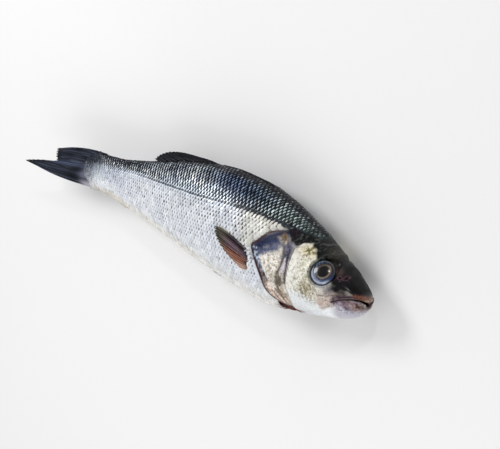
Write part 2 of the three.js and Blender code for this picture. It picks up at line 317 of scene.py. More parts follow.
def grid_faces(rows, columns, wrap, first=0):
    faces = []
    for row in range(rows - 1):
        for column in range(columns if wrap else columns - 1):
            a = first + row * columns + column
            b = first + row * columns + (column + 1) % columns
            faces.append((a, b, b + columns, a + columns))
    return faces


def fan_faces(centre, ring):
    return [(centre, a, b) for a, b in zip(ring, ring[1:] + ring[:1])]


def closed_net(rings, start, end):
    """Points and faces of a tube of rings closed by a point at each end."""
    count, sides = rings.shape[:2]
    points = np.concatenate([rings.reshape(-1, 3), start[None], end[None]])
    body = count * sides
    first, last = list(range(sides)), list(range(body - sides, body))
    caps = fan_faces(body, first[::-1]) + fan_faces(body + 1, last)
    return points, grid_faces(count, sides, True) + caps


def closed_sheet(front, back):
    """Points and faces of a thin closed sheet from its two faces' grids."""
    rows, columns = front.shape[:2]
    size = rows * columns
    faces = grid_faces(rows, columns, False)
    faces += [face[::-1] for face in grid_faces(rows, columns, False, size)]
    index = np.arange(size).reshape(rows, columns)
    sides = [index[0], index[1:, -1], index[-1, -2::-1], index[-2:0:-1, 0]]
    loop = np.concatenate(sides).tolist()
    faces += [(b, a, a + size, b + size) for a, b in zip(loop, loop[1:] + loop[:1])]
    return np.concatenate([front.reshape(-1, 3), back.reshape(-1, 3)]), faces


def new_object(name, points, faces, edges=()):
    mesh = bpy.data.meshes.new(name)
    mesh.from_pydata((np.asarray(points) * MM).tolist(), list(edges), faces)
    obj = bpy.data.objects.new(name, mesh)
    bpy.context.scene.collection.objects.link(obj)
    return obj


def closed_piece(name, points, faces, lowest=0.0):
    """A closed mesh that stays above the table, turned the right way round."""
    points[:, 2] = np.maximum(points[:, 2], lowest)
    obj = new_object(name, points, faces)
    net = bmesh.new()
    net.from_mesh(obj.data)
    if net.calc_volume(signed=True) < 0:
        bmesh.ops.reverse_faces(net, faces=net.faces)
    net.to_mesh(obj.data)
    net.free()
    return obj


def store(obj, **named):
    """Keep numbers, colours or directions on the points of a mesh."""
    for name, values in named.items():
        values = np.asarray(values, np.float32)
        kind, field = "FLOAT", "value"
        if name.endswith("_way"):
            kind, field = "FLOAT_VECTOR", "vector"
        elif values.ndim == 2:
            kind, field = "FLOAT_COLOR", "color"
            values = np.concatenate([values, np.ones((len(values), 1), np.float32)], axis=1)
        obj.data.attributes.new(name, kind, "POINT").data.foreach_set(field, values.ravel())


def finish_piece(obj, material, nodes=("fish",), smooth=True):
    """Give a piece its finish and tie it to the frame."""
    obj.data.materials.clear()
    obj.data.materials.append(material)
    obj.data.polygons.foreach_set("use_smooth", [smooth] * len(obj.data.polygons))
    obj.data.update()
    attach(obj, "root")
    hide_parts(*nodes)


# ---------------------------------------------------------------- nodes


class Wire:
    """A node's output that sums, products and steps can be made with."""

    def __init__(self, nodes, socket):
        self.nodes, self.socket = nodes, socket

    def maths(self, operation, *values):
        return self.nodes.node("ShaderNodeMath", {"operation": operation}, dict(enumerate(values)))

    def __add__(self, other):
        return self.maths("ADD", self, other)

    def __sub__(self, other):
        return self.maths("SUBTRACT", self, other)

    def __rsub__(self, other):
        return self.maths("SUBTRACT", other, self)

    def __mul__(self, other):
        return self.maths("MULTIPLY", self, other)

    __radd__ = __add__
    __rmul__ = __mul__

    def step(self, start, end, low=0.0, high=1.0):
        """Smooth step of this value, from low at start to high at end."""
        values = {"Value": self, "From Min": start, "From Max": end, "To Min": low, "To Max": high}
        return self.nodes.node("ShaderNodeMapRange", {"interpolation_type": "SMOOTHSTEP"}, values)


class Nodes:
    """A tree of nodes."""

    def node(self, kind, settings=None, values=None, output=0):
        """A new node: its settings first, then the values or links of its sockets."""
        made = self.tree.nodes.new(kind)
        for key, value in (settings or {}).items():
            setattr(made, key, value)
        for key, value in (values or {}).items():
            if isinstance(value, Wire):
                self.tree.links.new(value.socket, made.inputs[key])
            else:
                made.inputs[key].default_value = value
        return Wire(self, made.outputs[output]) if made.outputs else None


class Finish(Nodes):
    """A material and the nodes in it."""

    def __init__(self, name):
        self.material = bpy.data.materials.new(name)
        self.material.use_nodes = True
        self.tree = self.material.node_tree
        self.tree.nodes.clear()

    def attribute(self, name, output="Fac"):
        return self.node("ShaderNodeAttribute", {"attribute_name": name}, {}, output)

    def pattern(self, kind, size, output, **values):
        """A pattern with features about size millimetres across."""
        spot = self.node("ShaderNodeTexCoord", {}, {}, "Object")
        return self.node(kind, {}, {"Scale": 1 / (size * MM), "Vector": spot, **values}, output)

    def noise(self, size, detail=2.0, roughness=0.5):
        return self.pattern("ShaderNodeTexNoise", size, "Fac", Detail=detail, Roughness=roughness)

    def mix(self, factor, first, second, blend_type="MIX"):
        pair = [tuple(c) + (1.0,) if not isinstance(c, Wire) else c for c in (first, second)]
        settings = {"data_type": "RGBA", "blend_type": blend_type}
        return self.node("ShaderNodeMix", settings, {0: factor, 6: pair[0], 7: pair[1]}, 2)

    def bump(self, height, strength, depth):
        values = {"Height": height, "Strength": strength, "Distance": depth * MM}
        return self.node("ShaderNodeBump", {}, values, "Normal")

    def surface(self, **values):
        """The closing shader, with its sockets by name."""
        named = {key.replace("_", " "): value for key, value in values.items()}
        shader = self.node("ShaderNodeBsdfPrincipled", {}, named, "BSDF")
        self.node("ShaderNodeOutputMaterial", {}, {"Surface": shader})
        return self.material


class Maker(Nodes):
    """A tree of geometry nodes with named inputs, open until it is closed."""

    def __init__(self, name, **inputs):
        self.tree = bpy.data.node_groups.new(name, "GeometryNodeTree")
        interface = self.tree.interface
        for way in ("INPUT", "OUTPUT"):
            interface.new_socket("Geometry", in_out=way, socket_type="NodeSocketGeometry")
        self.identifiers = {}
        for label, kind in {**inputs, "Material": "Material"}.items():
            made = interface.new_socket(label, in_out="INPUT", socket_type="NodeSocket" + kind)
            self.identifiers[label] = made.identifier
        self.start = self.tree.nodes.new("NodeGroupInput")

    def given(self, label):
        return Wire(self, self.start.outputs[label])

    def read(self, name, kind="FLOAT"):
        settings = {"data_type": kind}
        return self.node("GeometryNodeInputNamedAttribute", settings, {"Name": name}, "Attribute")

    def close(self, geometry):
        """End the tree with plain geometry in the given material."""
        real = self.node("GeometryNodeRealizeInstances", {}, {"Geometry": geometry})
        coat = {"Geometry": real, "Material": self.given("Material")}
        self.node("NodeGroupOutput", {}, {"Geometry": self.node("GeometryNodeSetMaterial", {}, coat)})
        return self

    def apply(self, obj, **values):
        """Run the tree on an object and keep the plain mesh that it makes."""
        modifier = obj.modifiers.new("Made by nodes", "NODES")
        modifier.node_group = self.tree
        for label, value in values.items():
            modifier[self.identifiers[label]] = value
        graph = bpy.context.evaluated_depsgraph_get()
        made = bpy.data.meshes.new_from_object(obj.evaluated_get(graph))
        obj.modifiers.clear()
        old, obj.data = obj.data, made
        bpy.data.meshes.remove(old)
        made.name = obj.name


def scale_maker():
    """Puts a scale on every point, facing out, lying towards the tail and a little raised."""
    tree = Maker("Scales in rows", Plate="Object", Lift="Float", Unevenness="Float", Seed="Int")
    axes = {
        "Primary Axis": tree.read("out_way", "FLOAT_VECTOR"),
        "Secondary Axis": tree.read("tail_way", "FLOAT_VECTOR"),
    }
    facing = tree.node("FunctionNodeAxesToRotation", {"primary_axis": "Z", "secondary_axis": "X"}, axes)
    most = tree.given("Unevenness")
    limits = {2: most * -1.0, 3: most, "Seed": tree.given("Seed")}
    wobble = tree.node("FunctionNodeRandomValue", {"data_type": "FLOAT"}, limits, 1)
    turns = {"X": wobble, "Y": wobble - tree.given("Lift"), "Z": wobble}
    turns = tree.node("ShaderNodeCombineXYZ", {}, turns)
    tilted = {0: facing, 1: tree.node("FunctionNodeEulerToRotation", {}, {0: turns})}
    rotation = tree.node("FunctionNodeRotateRotation", {"rotation_space": "LOCAL"}, tilted)
    size = {"X": tree.read("scale_length"), "Y": tree.read("scale_width"), "Z": tree.read("scale_thick")}
    values = {
        "Points": tree.given("Geometry"),
        "Instance": tree.node("GeometryNodeObjectInfo", {}, {"Object": tree.given("Plate")}, "Geometry"),
        "Rotation": rotation,
        "Scale": tree.node("ShaderNodeCombineXYZ", {}, size),
    }
    return tree.close(tree.node("GeometryNodeInstanceOnPoints", {}, values))


def ray_maker():
    """Makes a round tapering ray of every chain of edges."""
    tree = Maker("Fin rays", Thickness="Float", Sides="Int")
    ring = {"Resolution": tree.given("Sides"), "Radius": 1.0}
    values = {
        "Curve": tree.node("GeometryNodeMeshToCurve", {}, {0: tree.given("Geometry")}),
        "Profile Curve": tree.node("GeometryNodeCurvePrimitiveCircle", {}, ring),
        "Scale": tree.read("taper") * tree.given("Thickness"),
        "Fill Caps": True,
    }
    return tree.close(tree.node("GeometryNodeCurveToMesh", {}, values))


# ---------------------------------------------------------------- colours of the body


def back_share(s, h, soft, widening):
    """0 on the flank and 1 on the back, in a change that is soft wide and widens at the tail."""
    soft = soft + widening * ramp(s, 225, 290) + 3.5 * ramp(s, 280, 315)
    return ramp((h - lateral_line(s)) / soft, -1, 1)


def body_colours(s, h, hues):
    """Dark ground, bright stroke and start of the stroke of the trunk's skin and scales; on the back the
    stroke is a painted highlight.
    """
    line, top, bottom = lateral_line(s), back_height(s), belly_height(s)
    above = np.clip((h - line) / (top - line), 0, 1)
    below = np.clip((line - h) / (line - bottom), 0, 1)
    upper = back_share(s, h, 0.8, 3.2)
    patch = blotch(s, h, 14, seed=21)

    # The dark back, greener over the shoulder and bluest amidships.
    ground = Coat(s, h, hues.back)
    ground.over(ramp(above, 0.45, 0.0) * ramp(s, 100, 150) * ramp(s, 235, 195) * 0.7, (78, 88, 106))
    ground.over(ramp(s, 145, 100), (18, 30, 40))
    ground.over(ramp(s, 110, 70), (46, 56, 57))
    ground.dab((138, 34), (36, 9), (3, 12, 36), 0.95)
    ground.over(ramp(above, 0.80, 0.95), (8, 10, 16))
    # Painted highlight: the bright stroke on each scale of the back, whiter and greener towards the
    # nape, bluer amidships, darker at the ridge and in patches.
    painted_glint = Coat(s, h, hues.painted_glint)
    painted_glint.over(ramp(s, 125, 80), (206, 222, 218))
    painted_glint.dab((136, 35), (30, 8), (84, 116, 166), 0.8)
    painted_glint.dab((112, 37), (14, 7), (86, 112, 128), 0.75)
    painted_glint.over(ramp(s - 0.9 * (h - 25), 76, 54) * 0.9, (92, 106, 104))
    painted_glint.over(ramp(above, 0.82, 0.95), (44, 50, 62))
    painted_glint.over(ramp(patch, 0.6, 1.0) * 0.2, (100, 114, 132))
    start = 0.82 - 0.02 * ramp(s, 125, 95) - 0.03 * band(s, 155, 235, 15) + 0.05 * above
    start += 0.06 * (patch - 0.5) + 0.05 * ramp(s, 200, 250) + 0.05 * ramp(s, 285, 312)

    # The silver flank: white with a dark dash at the root of each scale, partly dark pigment and partly
    # painted shade where the root lies under the scale in front.
    dash = Coat(s, h, (52, 58, 68))
    dash.over(ramp(below, 0.30, 0.60), (104, 111, 126))
    dash.over(ramp(s, 200, 245), (110, 118, 136))
    dash.over(ramp(below, 0.62, 0.85), (196, 198, 202))
    silver = Coat(s, h, hues.flank)
    silver.over(ramp(below, 0.22, 0.0) * ramp(s, 90, 130) * 0.6, (190, 198, 210))
    silver.over(ramp(s, 230, 290) * ramp(below, 0.7, 0.1), (202, 209, 220))
    silver.over(band(s, 76, 104, 22) * band(below, 0.04, 0.32, 0.14), (224, 223, 215))
    silver.over(bell((below - 0.5) / 0.3, 1) * ramp(patch, 0.45, 0.9) * 0.5, (206, 208, 226))
    silver.over(ramp(below, 0.74, 0.92), (224, 223, 220))
    silver.over(ramp(below, 0.72, 0.95) * band(s, 165, 285, 25) * 0.6, (226, 222, 212))
    silver.over(ramp(below, 0.93, 1.0), (208, 202, 194))
    dash.over(band(s, 76, 104, 22) * band(below, 0.0, 0.32, 0.14), (96, 96, 88))
    dash.over(bell(h - line + 3, 5) * band(s, 110, 190, 20) * 0.6, (36, 50, 70))
    lower_start = 0.63 + 0.06 * (patch - 0.5) - 0.07 * ramp(below, 0.35, 0.75)

    seam = bell(h - line, 0.8) * band(s, 70, 118, 14) * 0.9
    for part in (ground, painted_glint, dash, silver):
        part.over(seam, (30, 31, 34))
    shade = blend(dash.colour, upper, ground.colour)
    shine = blend(silver.colour, upper, painted_glint.colour)
    # Towards the tail fin the skin darkens to slate, first along the back.
    reach = s + 0.45 * h + 10 * (patch - 0.5)
    shine = blend(shine, ramp(reach, 293, 328) * ramp(h, -18, -12), (58, 65, 84))
    shade = blend(shade, ramp(reach, 276, 310) * ramp(h, -18, -13), (26, 30, 42))
    return shade, shine, upper * start + (1 - upper) * lower_start


def head_fleck(s, h):
    """How strongly the head's skin is speckled: most on the cheek, least on the jaws."""
    cheek = band(s, 34, 52, 6) * band(h, -13, 19, 5)
    cover = band(s, 60, 94, 3) * band(h, -26, 6, 5) * 0.75
    jaws = band(s, 0, 24, 6) * band(h, -12, 2, 3) * 0.6
    return np.clip(0.3 + 0.7 * cheek + cover + jaws, 0, 1)


def head_colours(s, h, hues):
    """Colour of the head's skin."""
    level = np.sin(angle_at(s, h))
    fine, mid, wide = blotch(s, h, 1.1, seed=3), blotch(s, h, 2.4, seed=5), blotch(s, h, 6, seed=7)
    coat = Coat(s, h, hues.cheek)
    # Lower cheek, throat and lower jaw.
    coat.over(ramp(h, -10, -17), (242, 246, 248))
    coat.over(ramp(h, -20, -28) * ramp(s, 60, 40), (202, 203, 210))
    coat.over(ramp(s, 24, 14) * ramp(h, -4, -8), (182, 180, 192))
    coat.dab((11, -7.4), (6.5, 1.9), (134, 112, 126), 0.9, 20)
    coat.dab((9.5, -9.6), (2.8, 1.3), (78, 62, 80), 0.95, 15)
    coat.dab((14.5, -12), (2.2, 0.8), (110, 94, 112), 0.6, 30)
    coat.dab((3, -6.6), (4.6, 3.0), (116, 78, 72), 0.85)
    coat.dab((56.5, -1), (6, 11), (255, 253, 246), 0.9)
    coat.dab((48.5, 6), (6, 5), (200, 198, 182), 0.6)
    # Gold and green blotches on the cheek.
    speck = ramp(fine * 0.6 + mid * 0.4, 0.35, 0.62)
    coat.glow((41, -8), (8.5, 6.4), (92, 78, 52), speck)
    coat.glow((40, -9), (7, 5.0), (150, 138, 106), 0.6)
    coat.glow((46, -2), (7, 9), (196, 188, 150), ramp(mid, 0.3, 0.7) * 0.55)
    coat.glow((51, 16.5), (8.0, 4.4), (222, 208, 156), 0.75)
    coat.glow((52, 17.0), (7.5, 4.2), (112, 104, 62), speck)
    coat.over(ramp(fine, 0.62, 0.8) * band(s, 38, 60, 4) * band(h, -16, 12, 4) * 0.4, (176, 172, 160))
    # Opercle: cream with brown striations.
    behind = ramp(s - cheek_edge(level), 0.5, 2.5)
    coat.over(behind * 0.95, (250, 244, 234))
    streak = ramp(blotch(s * 0.5 + h * 0.22, h - s * 0.3, 1.5, seed=11), 0.5, 0.8)
    coat.over(behind * streak * 0.5, (164, 138, 110))
    coat.over(behind * ramp(blotch(s, h, 1.3, seed=13), 0.62, 0.8) * 0.5, (120, 106, 92))
    coat.over(behind * ramp(blotch(s, h, 1.7, seed=15), 0.55, 0.8) * 0.6, (252, 248, 240))
    # Grooved band behind the cheek: slate above, lavender in the middle, olive and mottled below.
    middle = [(64.5, 12), (63.4, 5.5), (62.2, -1), (61.8, -6), (61.0, -12)]
    groove = ramp(s - cheek_edge(level), 0.0, 0.8) * ramp(path_distance(s, h, middle), 6.2, 4.6)
    coat.over(groove * ramp(h, -14, -10) * 0.85, (198, 190, 194))
    low = [(65.5, -9), (64.5, -16), (61, -21)]
    coat.line(low, 4.6, (184, 174, 154), 0.85)
    coat.line(low, 4.6, (222, 214, 196), ramp(fine, 0.55, 0.75) * 0.8)
    coat.line(low, 4.2, (66, 56, 44), ramp(mid, 0.42, 0.25) * 0.8)
    coat.line([(67, 15), (65.5, 12), (65.2, 8)], 4.0, (36, 42, 64), 0.94)
    coat.line([(67, 15), (65, 8)], 3.5, (130, 142, 172), ramp(fine, 0.6, 0.8) * 0.6)
    coat.line(OUTER_CREASE, 1.2, (88, 82, 78), 0.9)
    coat.line(middle, 0.8, (58, 52, 64), 0.95)
    coat.line([(65.2, 5), (64.6, 1), (64.3, -5)], 0.6, (226, 218, 236), 0.95)
    coat.line(INNER_CREASE[:4], 0.5, (74, 62, 68), 0.9)
    coat.line(INNER_CREASE[3:], 0.6, (150, 112, 104), 0.85)
    # Pink-brown lower edge of the gill cover, streaked with brown.
    lower = [(77, -17), (71, -22.5), (62, -26.5), (52, -29.5)]
    coat.line(lower, 3.6, (232, 212, 200), 0.9)
    coat.line([(68, -18.5), (61, -23.5), (54, -27.6)], 0.6, (104, 76, 64), 0.85)
    coat.line([(64.5, -17.5), (58, -22), (54.5, -25.5)], 0.6, (146, 110, 92), 0.8)
    coat.line([(71, -20.5), (64, -25), (57, -28.4)], 0.7, (158, 120, 104), 0.8)
    # Navy band over the top and rear of the gill cover.
    edge = gill_edge(level) - s
    navy = [(93, 2.6), (86, 9.5), (79, 13.2), (73, 16.2)]
    coat.line(navy, 5.2, (50, 60, 95), 1.0)
    coat.line(navy, 5, (98, 110, 150), ramp(fine, 0.6, 0.85) * 0.6)
    coat.line(navy, 5, (28, 32, 56), ramp(mid, 0.4, 0.2) * 0.7)
    coat.line([(93, 3.1), (87, 12), (79, 18), (73, 22)], 4.4, (36, 42, 70), 1.0)
    coat.line([(88, 1), (81, 6), (76, 9)], 2.4, (60, 74, 118), 0.85)
    rear = band(edge, -2, 6.0, 2.4) * band(h, -15, 2.5, 3)
    coat.over(rear, (76, 90, 116))
    coat.over(rear * ramp(fine, 0.5, 0.66), (206, 218, 236))
    coat.over(rear * ramp(mid, 0.46, 0.3), (34, 46, 66))
    coat.over(band(edge, -1, 5, 2) * band(h, -22, -13, 4) * ramp(fine, 0.4, 0.6) * 0.8, (138, 122, 96))
    torn = 0.35 + 0.65 * ramp(fine, 0.25, 0.6)
    coat.dab((71.9, 17.6), (4.6, 1.7), (166, 136, 88), 0.95 * torn, 33)
    coat.dab((74.6, 15.6), (3.4, 1.4), (190, 178, 156), 0.8 * torn, 20)
    coat.dab((72.6, 18.4), (2.6, 0.6), (58, 42, 30), 0.95, 38)
    coat.dab((70.0, 15.2), (1.4, 0.6), (214, 204, 190), 0.8, 70)
    coat.glow((72, 17.5), (4, 3), (60, 52, 56), ramp(fine, 0.6, 0.8) * 0.7)
    # Thin dark membrane along the slit.
    wide_rim = 1.4 + 0.9 * ramp(h, -1, -9)
    rim = bell(edge - 0.6 * wide_rim, wide_rim) * ramp(h, 24, 18) * ramp(h, -29, -26)
    coat.over(rim * 0.97, (56, 30, 36))
    coat.over(bell(edge - 3.2, 0.8) * ramp(h, -4, -10) * ramp(h, -31, -27) * 0.5, (190, 160, 150))
    # Bony rim and halo round the eye.
    far = np.hypot(s - EYE_STATION, h - EYE_HEIGHT)
    coat.over(band(far, 9, 10.4, 1.1) * 0.75, (104, 106, 98))
    coat.over(band(far, 7.5, 9.2, 0.5) * 0.75, (46, 44, 46))
    coat.over(bell(far - 10.2, 0.7) * ramp(h, 3, -2) * ramp(s, 40, 32) * 0.8, (170, 172, 180))
    # Plate below and in front of the eye.
    coat.dab((23.5, -2.0), (6.4, 4.6), (116, 110, 115), 0.95, -35)
    coat.dab((15.6, -0.8), (6.4, 2.8), (30, 20, 24), 0.97, 0)
    coat.dab((20.0, 1.6), (4.4, 2.6), (48, 40, 46), 0.92, -30)
    coat.line([(17, -2.2), (23.5, -6.6), (30.5, -8.6)], 0.9, (82, 66, 66), 0.9)
    # Upper jaw bone and its rear plate.
    coat.line([(18.5, -5.5), (23, -9), (28.5, -13)], 3.6, (184, 166, 156), 0.9)
    coat.glow((28, -12.6), (3.6, 4.2), (190, 172, 162), 0.85)
    coat.line([(21, -12), (25.5, -15.8), (28.5, -18)], 0.9, (150, 124, 116), 0.7)
    # Dark crown of the head, from the snout over the eye to the shoulder.
    crown = curves([
        (0, -3), (4, -1.2), (8, -0.2), (12, 0.2), (16, -0.6), (19, -0.8), (21.5, 0), (24, 2), (26, 5),
        (29, 10), (34, 12.5), (38, 13), (41, 13.2), (44, 15), (48, 18.6), (53, 20.8), (57, 19.8),
        (61, 16.4), (66, 17.4), (70, 20.5), (76, 24), (90, 30),
    ])[0]
    fade = 1 + 0.8 * ramp(s, 27, 21) * ramp(s, 8, 14)
    dark = ramp((h - crown(s) + 1.6 * fade * (mid - 0.5)) / fade, -1, 1)
    top = Coat(s, h, (16, 17, 19))
    top.dab((40, 24), (16, 7), (24, 25, 26), 0.8, 25)
    top.dab((25.5, 11.2), (5, 1.8), (84, 68, 66), 0.8, 30)
    top.dab((37, 19), (7, 1.8), (60, 55, 44), 0.6, 25)
    top.dab((17, 5), (9, 3.6), (20, 15, 20), 0.95, 0)
    top.dab((10, 2.5), (8, 2.6), (10, 8, 11), 0.9)
    top.dab((20.6, 8.6), (4.0, 2.0), (60, 40, 46), 0.8, -15)
    top.over(ramp(mid, 0.55, 0.8) * band(s, 8, 28, 4) * 0.5, (8, 6, 9))
    top.over(ramp(s, 64, 86) * ramp(h, 24, 31), (44, 54, 56))
    top.over(ramp(fine, 0.58, 0.82) * 0.5 * ramp(s, 26, 44), (88, 92, 88))
    top.dab((68.8, 23.3), (5, 2.6), (26, 15, 28), 0.85, 35)
    coat.over(dark, top.colour)
    # Nostrils and lips.
    for station, height, size in NOSTRILS:
        near = np.hypot(s - station, 1.5 * (h - height))
        coat.over(bell(near - size - 0.5, 0.5) * ramp(fine, 0.3, 0.6) * 0.65, (112, 84, 92))
        coat.over(bell(near, size + 0.1), (26, 4, 10))
    coat.line([(19, -5.4), (16.4, -4.0)], 2.4, (72, 58, 64), 0.92)
    coat.line([(16.4, -4.6), (14, -3.1), (8.3, -0.6), (4.5, 0.0)], 1.7, (66, 44, 56), 0.95)
    coat.dab((4, 0.2), (4.4, 1.6), (122, 76, 54), 0.9)
    coat.dab((5.5, -2.0), (2.0, 0.8), (112, 46, 34), 0.8, 20)
    coat.dab((1.6, -1.4), (1.5, 0.9), (176, 140, 104), 0.7)
    coat.line([(18, -9.0), (14.6, -7.2), (8.3, -4.6), (3.3, -4.4)], 2.3, (104, 80, 94), 0.95)
    coat.line([(17, -9), (8, -6), (3, -5)], 3.0, (176, 168, 188), ramp(mid, 0.5, 0.75) * 0.6)
    coat.line([(20, -8.6), (14.6, -5.2), (8.3, -2.6), (3.6, -1.7), (0, -3.4)], 0.8, (40, 20, 24), 0.95)
    coat.dab((2.2, -6.0), (3.0, 2.2), (40, 26, 25), 0.9)
    coat.glow((4, -6), (4, 3), (176, 140, 110), ramp(fine, 0.62, 0.8) * 0.7)
    return coat.colour * (0.9 + 0.2 * wide[..., None])


# ---------------------------------------------------------------- materials


def body_material():
    """Wet skin whose colour is painted on its points, speckled where the fleck mask says."""
    g = Finish("wet_skin")
    tint, fleck = g.attribute("tint", "Color"), g.attribute("fleck")
    grain, fine = g.noise(2.6, 3, 0.65), g.noise(1.5, 3, 0.7)
    broad = g.noise(5.0, 2, 0.5)
    dust = g.mix(fleck * fine.step(0.53, 0.62, 0.0, 0.75), tint, (0.26, 0.25, 0.22), "MULTIPLY")
    mottled = g.mix(fleck * grain.step(0.52, 0.64, 0.0, 0.5), dust, (0.5, 0.47, 0.38), "MULTIPLY")
    pale = g.mix(fleck * fine.step(0.45, 0.34, 0.0, 0.8), mottled, (1.0, 1.0, 1.0), "SOFT_LIGHT")
    normal = g.bump(grain * 0.8 + g.pattern("ShaderNodeTexVoronoi", 1.7, "Distance") * 0.5, 0.4, 0.3)
    return g.surface(
        Base_Color=pale, Metallic=g.attribute("silver") * 0.12,
        Roughness=broad.step(0.2, 0.8, 0.26, 0.42) + g.attribute("matt") * 0.3,
        Normal=normal, Coat_Weight=g.attribute("wet") + grain.step(0.2, 0.8, 0.03, 0.16),
        Coat_Roughness=0.12, Specular_IOR_Level=0.14,
    )


def scale_material():
    """Dark scales with a painted highlight stroke on the back, bright ones on the flank with a dark dash
    that is partly painted shade.
    """
    g = Finish("silver_scales")
    edge, cross = g.attribute("edge"), g.attribute("cross")
    wander = g.noise(1.6, 2, 0.6)
    reach = edge + wander * 0.10 - g.attribute("gleam_start") - 0.05
    back = g.attribute("back")
    middle = (cross + wander * 0.1 + back * 0.03).step(0.46, 0.38)
    lit = reach.step(-0.02, 0.05) * middle + (1.0 - middle) * (1.0 - back)
    pore = g.attribute("pore") * cross.step(0.2, 0.13)
    shade, tint = g.attribute("shade", "Color"), g.attribute("tint", "Color")
    colour = g.mix(pore * 0.75, g.mix(lit, shade, tint), paint(40, 46, 58))
    # Painted sparkle: spots of white on the bright part of each scale.
    painted_sparkle = g.mix(lit * wander.step(0.52, 0.75, 0.0, 0.6), colour, (1.0, 1.0, 1.0))
    grain = g.noise(0.5, 2, 0.5)
    normal = g.bump(grain + edge * 0.6, 0.25, 0.12)
    return g.surface(
        Base_Color=painted_sparkle, Roughness=lit.step(0.0, 1.0, 0.4, 0.28), Metallic=lit * 0.15, Normal=normal,
        Coat_Weight=0.05, Coat_Roughness=0.2, Specular_IOR_Level=0.14,
    )


def fin_material(name, roughness):
    """Slimy fin skin, painted on its points."""
    g = Finish(name)
    tint = g.attribute("tint", "Color")
    grain = g.noise(0.8, 3, 0.6)
    colour = g.mix(grain.step(0.35, 0.7, 0.0, 0.45), tint, (0.5, 0.48, 0.5), "MULTIPLY")
    return g.surface(
        Base_Color=colour, Roughness=grain.step(0.2, 0.8, roughness, roughness + 0.15),
        Normal=g.bump(grain, 0.3, 0.15), Coat_Weight=0.05, Coat_Roughness=0.2, Specular_IOR_Level=0.12,
    )


def eye_material():
    """Glossy eyeball."""
    g = Finish("eyeball")
    tint = g.attribute("tint", "Color")
    grain = g.noise(0.7, 3, 0.6)
    colour = g.mix(grain.step(0.3, 0.75, 0.0, 0.35), tint, (0.55, 0.58, 0.66), "MULTIPLY")
    return g.surface(
        Base_Color=colour, Roughness=grain.step(0.2, 0.8, 0.16, 0.26),
        Coat_Weight=0.5, Coat_Roughness=0.05, Specular_IOR_Level=0.4,
    )


def flesh_material(hues):
    """Raw red flesh inside the throat."""
    g = Finish("raw_flesh")
    grain = g.noise(2.2, 4, 0.6)
    dark = g.mix(grain.step(0.3, 0.7), paint(22, 9, 8), hues.flesh)
    colour = g.mix(g.attribute("core") * grain.step(0.25, 0.6, 0.4, 0.9), dark, paint(118, 60, 54))
    return g.surface(
        Base_Color=colour, Roughness=grain.step(0.2, 0.8, 0.5, 0.7), Normal=g.bump(grain, 0.6, 0.8),
        Coat_Weight=0.08, Coat_Roughness=0.3, Specular_IOR_Level=0.15,
    )


def floor_material():
    g = Finish("pale_floor")
    tone = g.noise(400, 1, 0.4).step(0.3, 0.7)
    colour = g.mix(tone, (0.86, 0.86, 0.86), (0.88, 0.88, 0.88))
    return g.surface(Base_Color=colour, Roughness=0.9, Specular_IOR_Level=0.2)


# ---------------------------------------------------------------- trunk and scales

TRUNK_ROWS = 130
TRUNK_INNER_ROWS = 3
TRUNK_INNER_END = (96.0, -2.0)
TRUNK_TAIL_END = (BODY_END, -1.0)
SCALES_START = 47.0
SCALES_END = 327.0
# Stations, and how large the scales are there.
SCALE_GROWTH = ([45, 80, 120, 230, 300, 331], [0.66, 0.9, 1.0, 0.9, 0.72, 0.5])
SCALE_SEED = 4
TILT_SEED = 9

# Level and foremost station of the scales on the nape.
scale_nape = curves([(0.55, 96), (0.66, 84), (0.74, 78), (0.8, 70), (0.87, 60), (0.94, 53), (1, 50)])[0]


def trunk_columns():
    """Section angles round the trunk, close together at the belly slit."""
    near = np.radians([0, 1.0, 2.0, 3.2, 4.8, 7.0, 9.6])
    half = np.concatenate([near, np.linspace(math.radians(12.5), math.pi, 62)])
    return np.concatenate([half, 2 * math.pi - half[-2:0:-1]]) - math.pi / 2


def build_trunk(context):
    angle = trunk_columns()
    level = np.sin(angle)
    front, edge = trunk_front(level), gill_edge(level)
    tucked = 0.25 + 0.75 * gill_relief(level) / GILL_RELIEF_MOST
    rings, stations = [], []
    for ahead, sunk in ((7, 8.0), (1.2, 2.4), (-0.2, 1.1), (0.5, 0.45)):
        rings.append(skin(front + ahead, angle, np.full(len(angle), -sunk)))
        stations.append(front + ahead)
    for row in range(TRUNK_ROWS):
        first = front + 1.4
        s = first + (BODY_END - 0.3 - first) * (row + 0.6) / TRUNK_ROWS
        covered = ramp(s, edge + 3.5, edge - 0.5) * 0.9 * ramp(level, -0.93, -0.86) * tucked
        side = np.abs(section(s)[2] * np.cos(angle))
        cut = band(s, BELLY_SLIT_START, BELLY_SLIT_END, 6) * (level < 0)
        raised = 0.4 * bell(side - 1.7, 0.7) - BELLY_SLIT_DEPTH * bell(side, BELLY_SLIT_HALF)
        rings.append(skin(s, angle, cut * raised - covered))
        stations.append(s)
    ends = (place(*TRUNK_INNER_END, 0.0), place(*TRUNK_TAIL_END, 0.0))
    points, faces = closed_net(np.stack(rings), *ends)
    obj = closed_piece("trunk", points, faces)
    s = np.append(stations, [TRUNK_INNER_END[0], TRUNK_TAIL_END[0]])
    a = np.append(np.tile(angle, len(rings)), [0, 0])
    h = side_view_height(s, a)
    # The skin under the scales mixes their dark ground with their bright colour, which on the back is
    # the painted highlight.
    shade, shine = body_colours(s, h, context.scene.bass_colours)[:2]
    cut = (np.sin(a) < 0) * band(s, 70, 236, 4) * bell(half_width(s) * np.cos(a), 1.1)
    flesh = np.clip(cut + (np.arange(len(s)) < TRUNK_INNER_ROWS * len(angle)), 0, 1)
    store(
        obj,
        tint=blend(shade * 0.55 + shine * 0.45, flesh, (96, 46, 44)),
        silver=ramp(h, 8, -6) * (1 - flesh),
        fleck=np.full(len(s), 0.3),
        wet=np.zeros(len(s)),
        matt=np.zeros(len(s)),
    )
    finish_piece(obj, body_material())


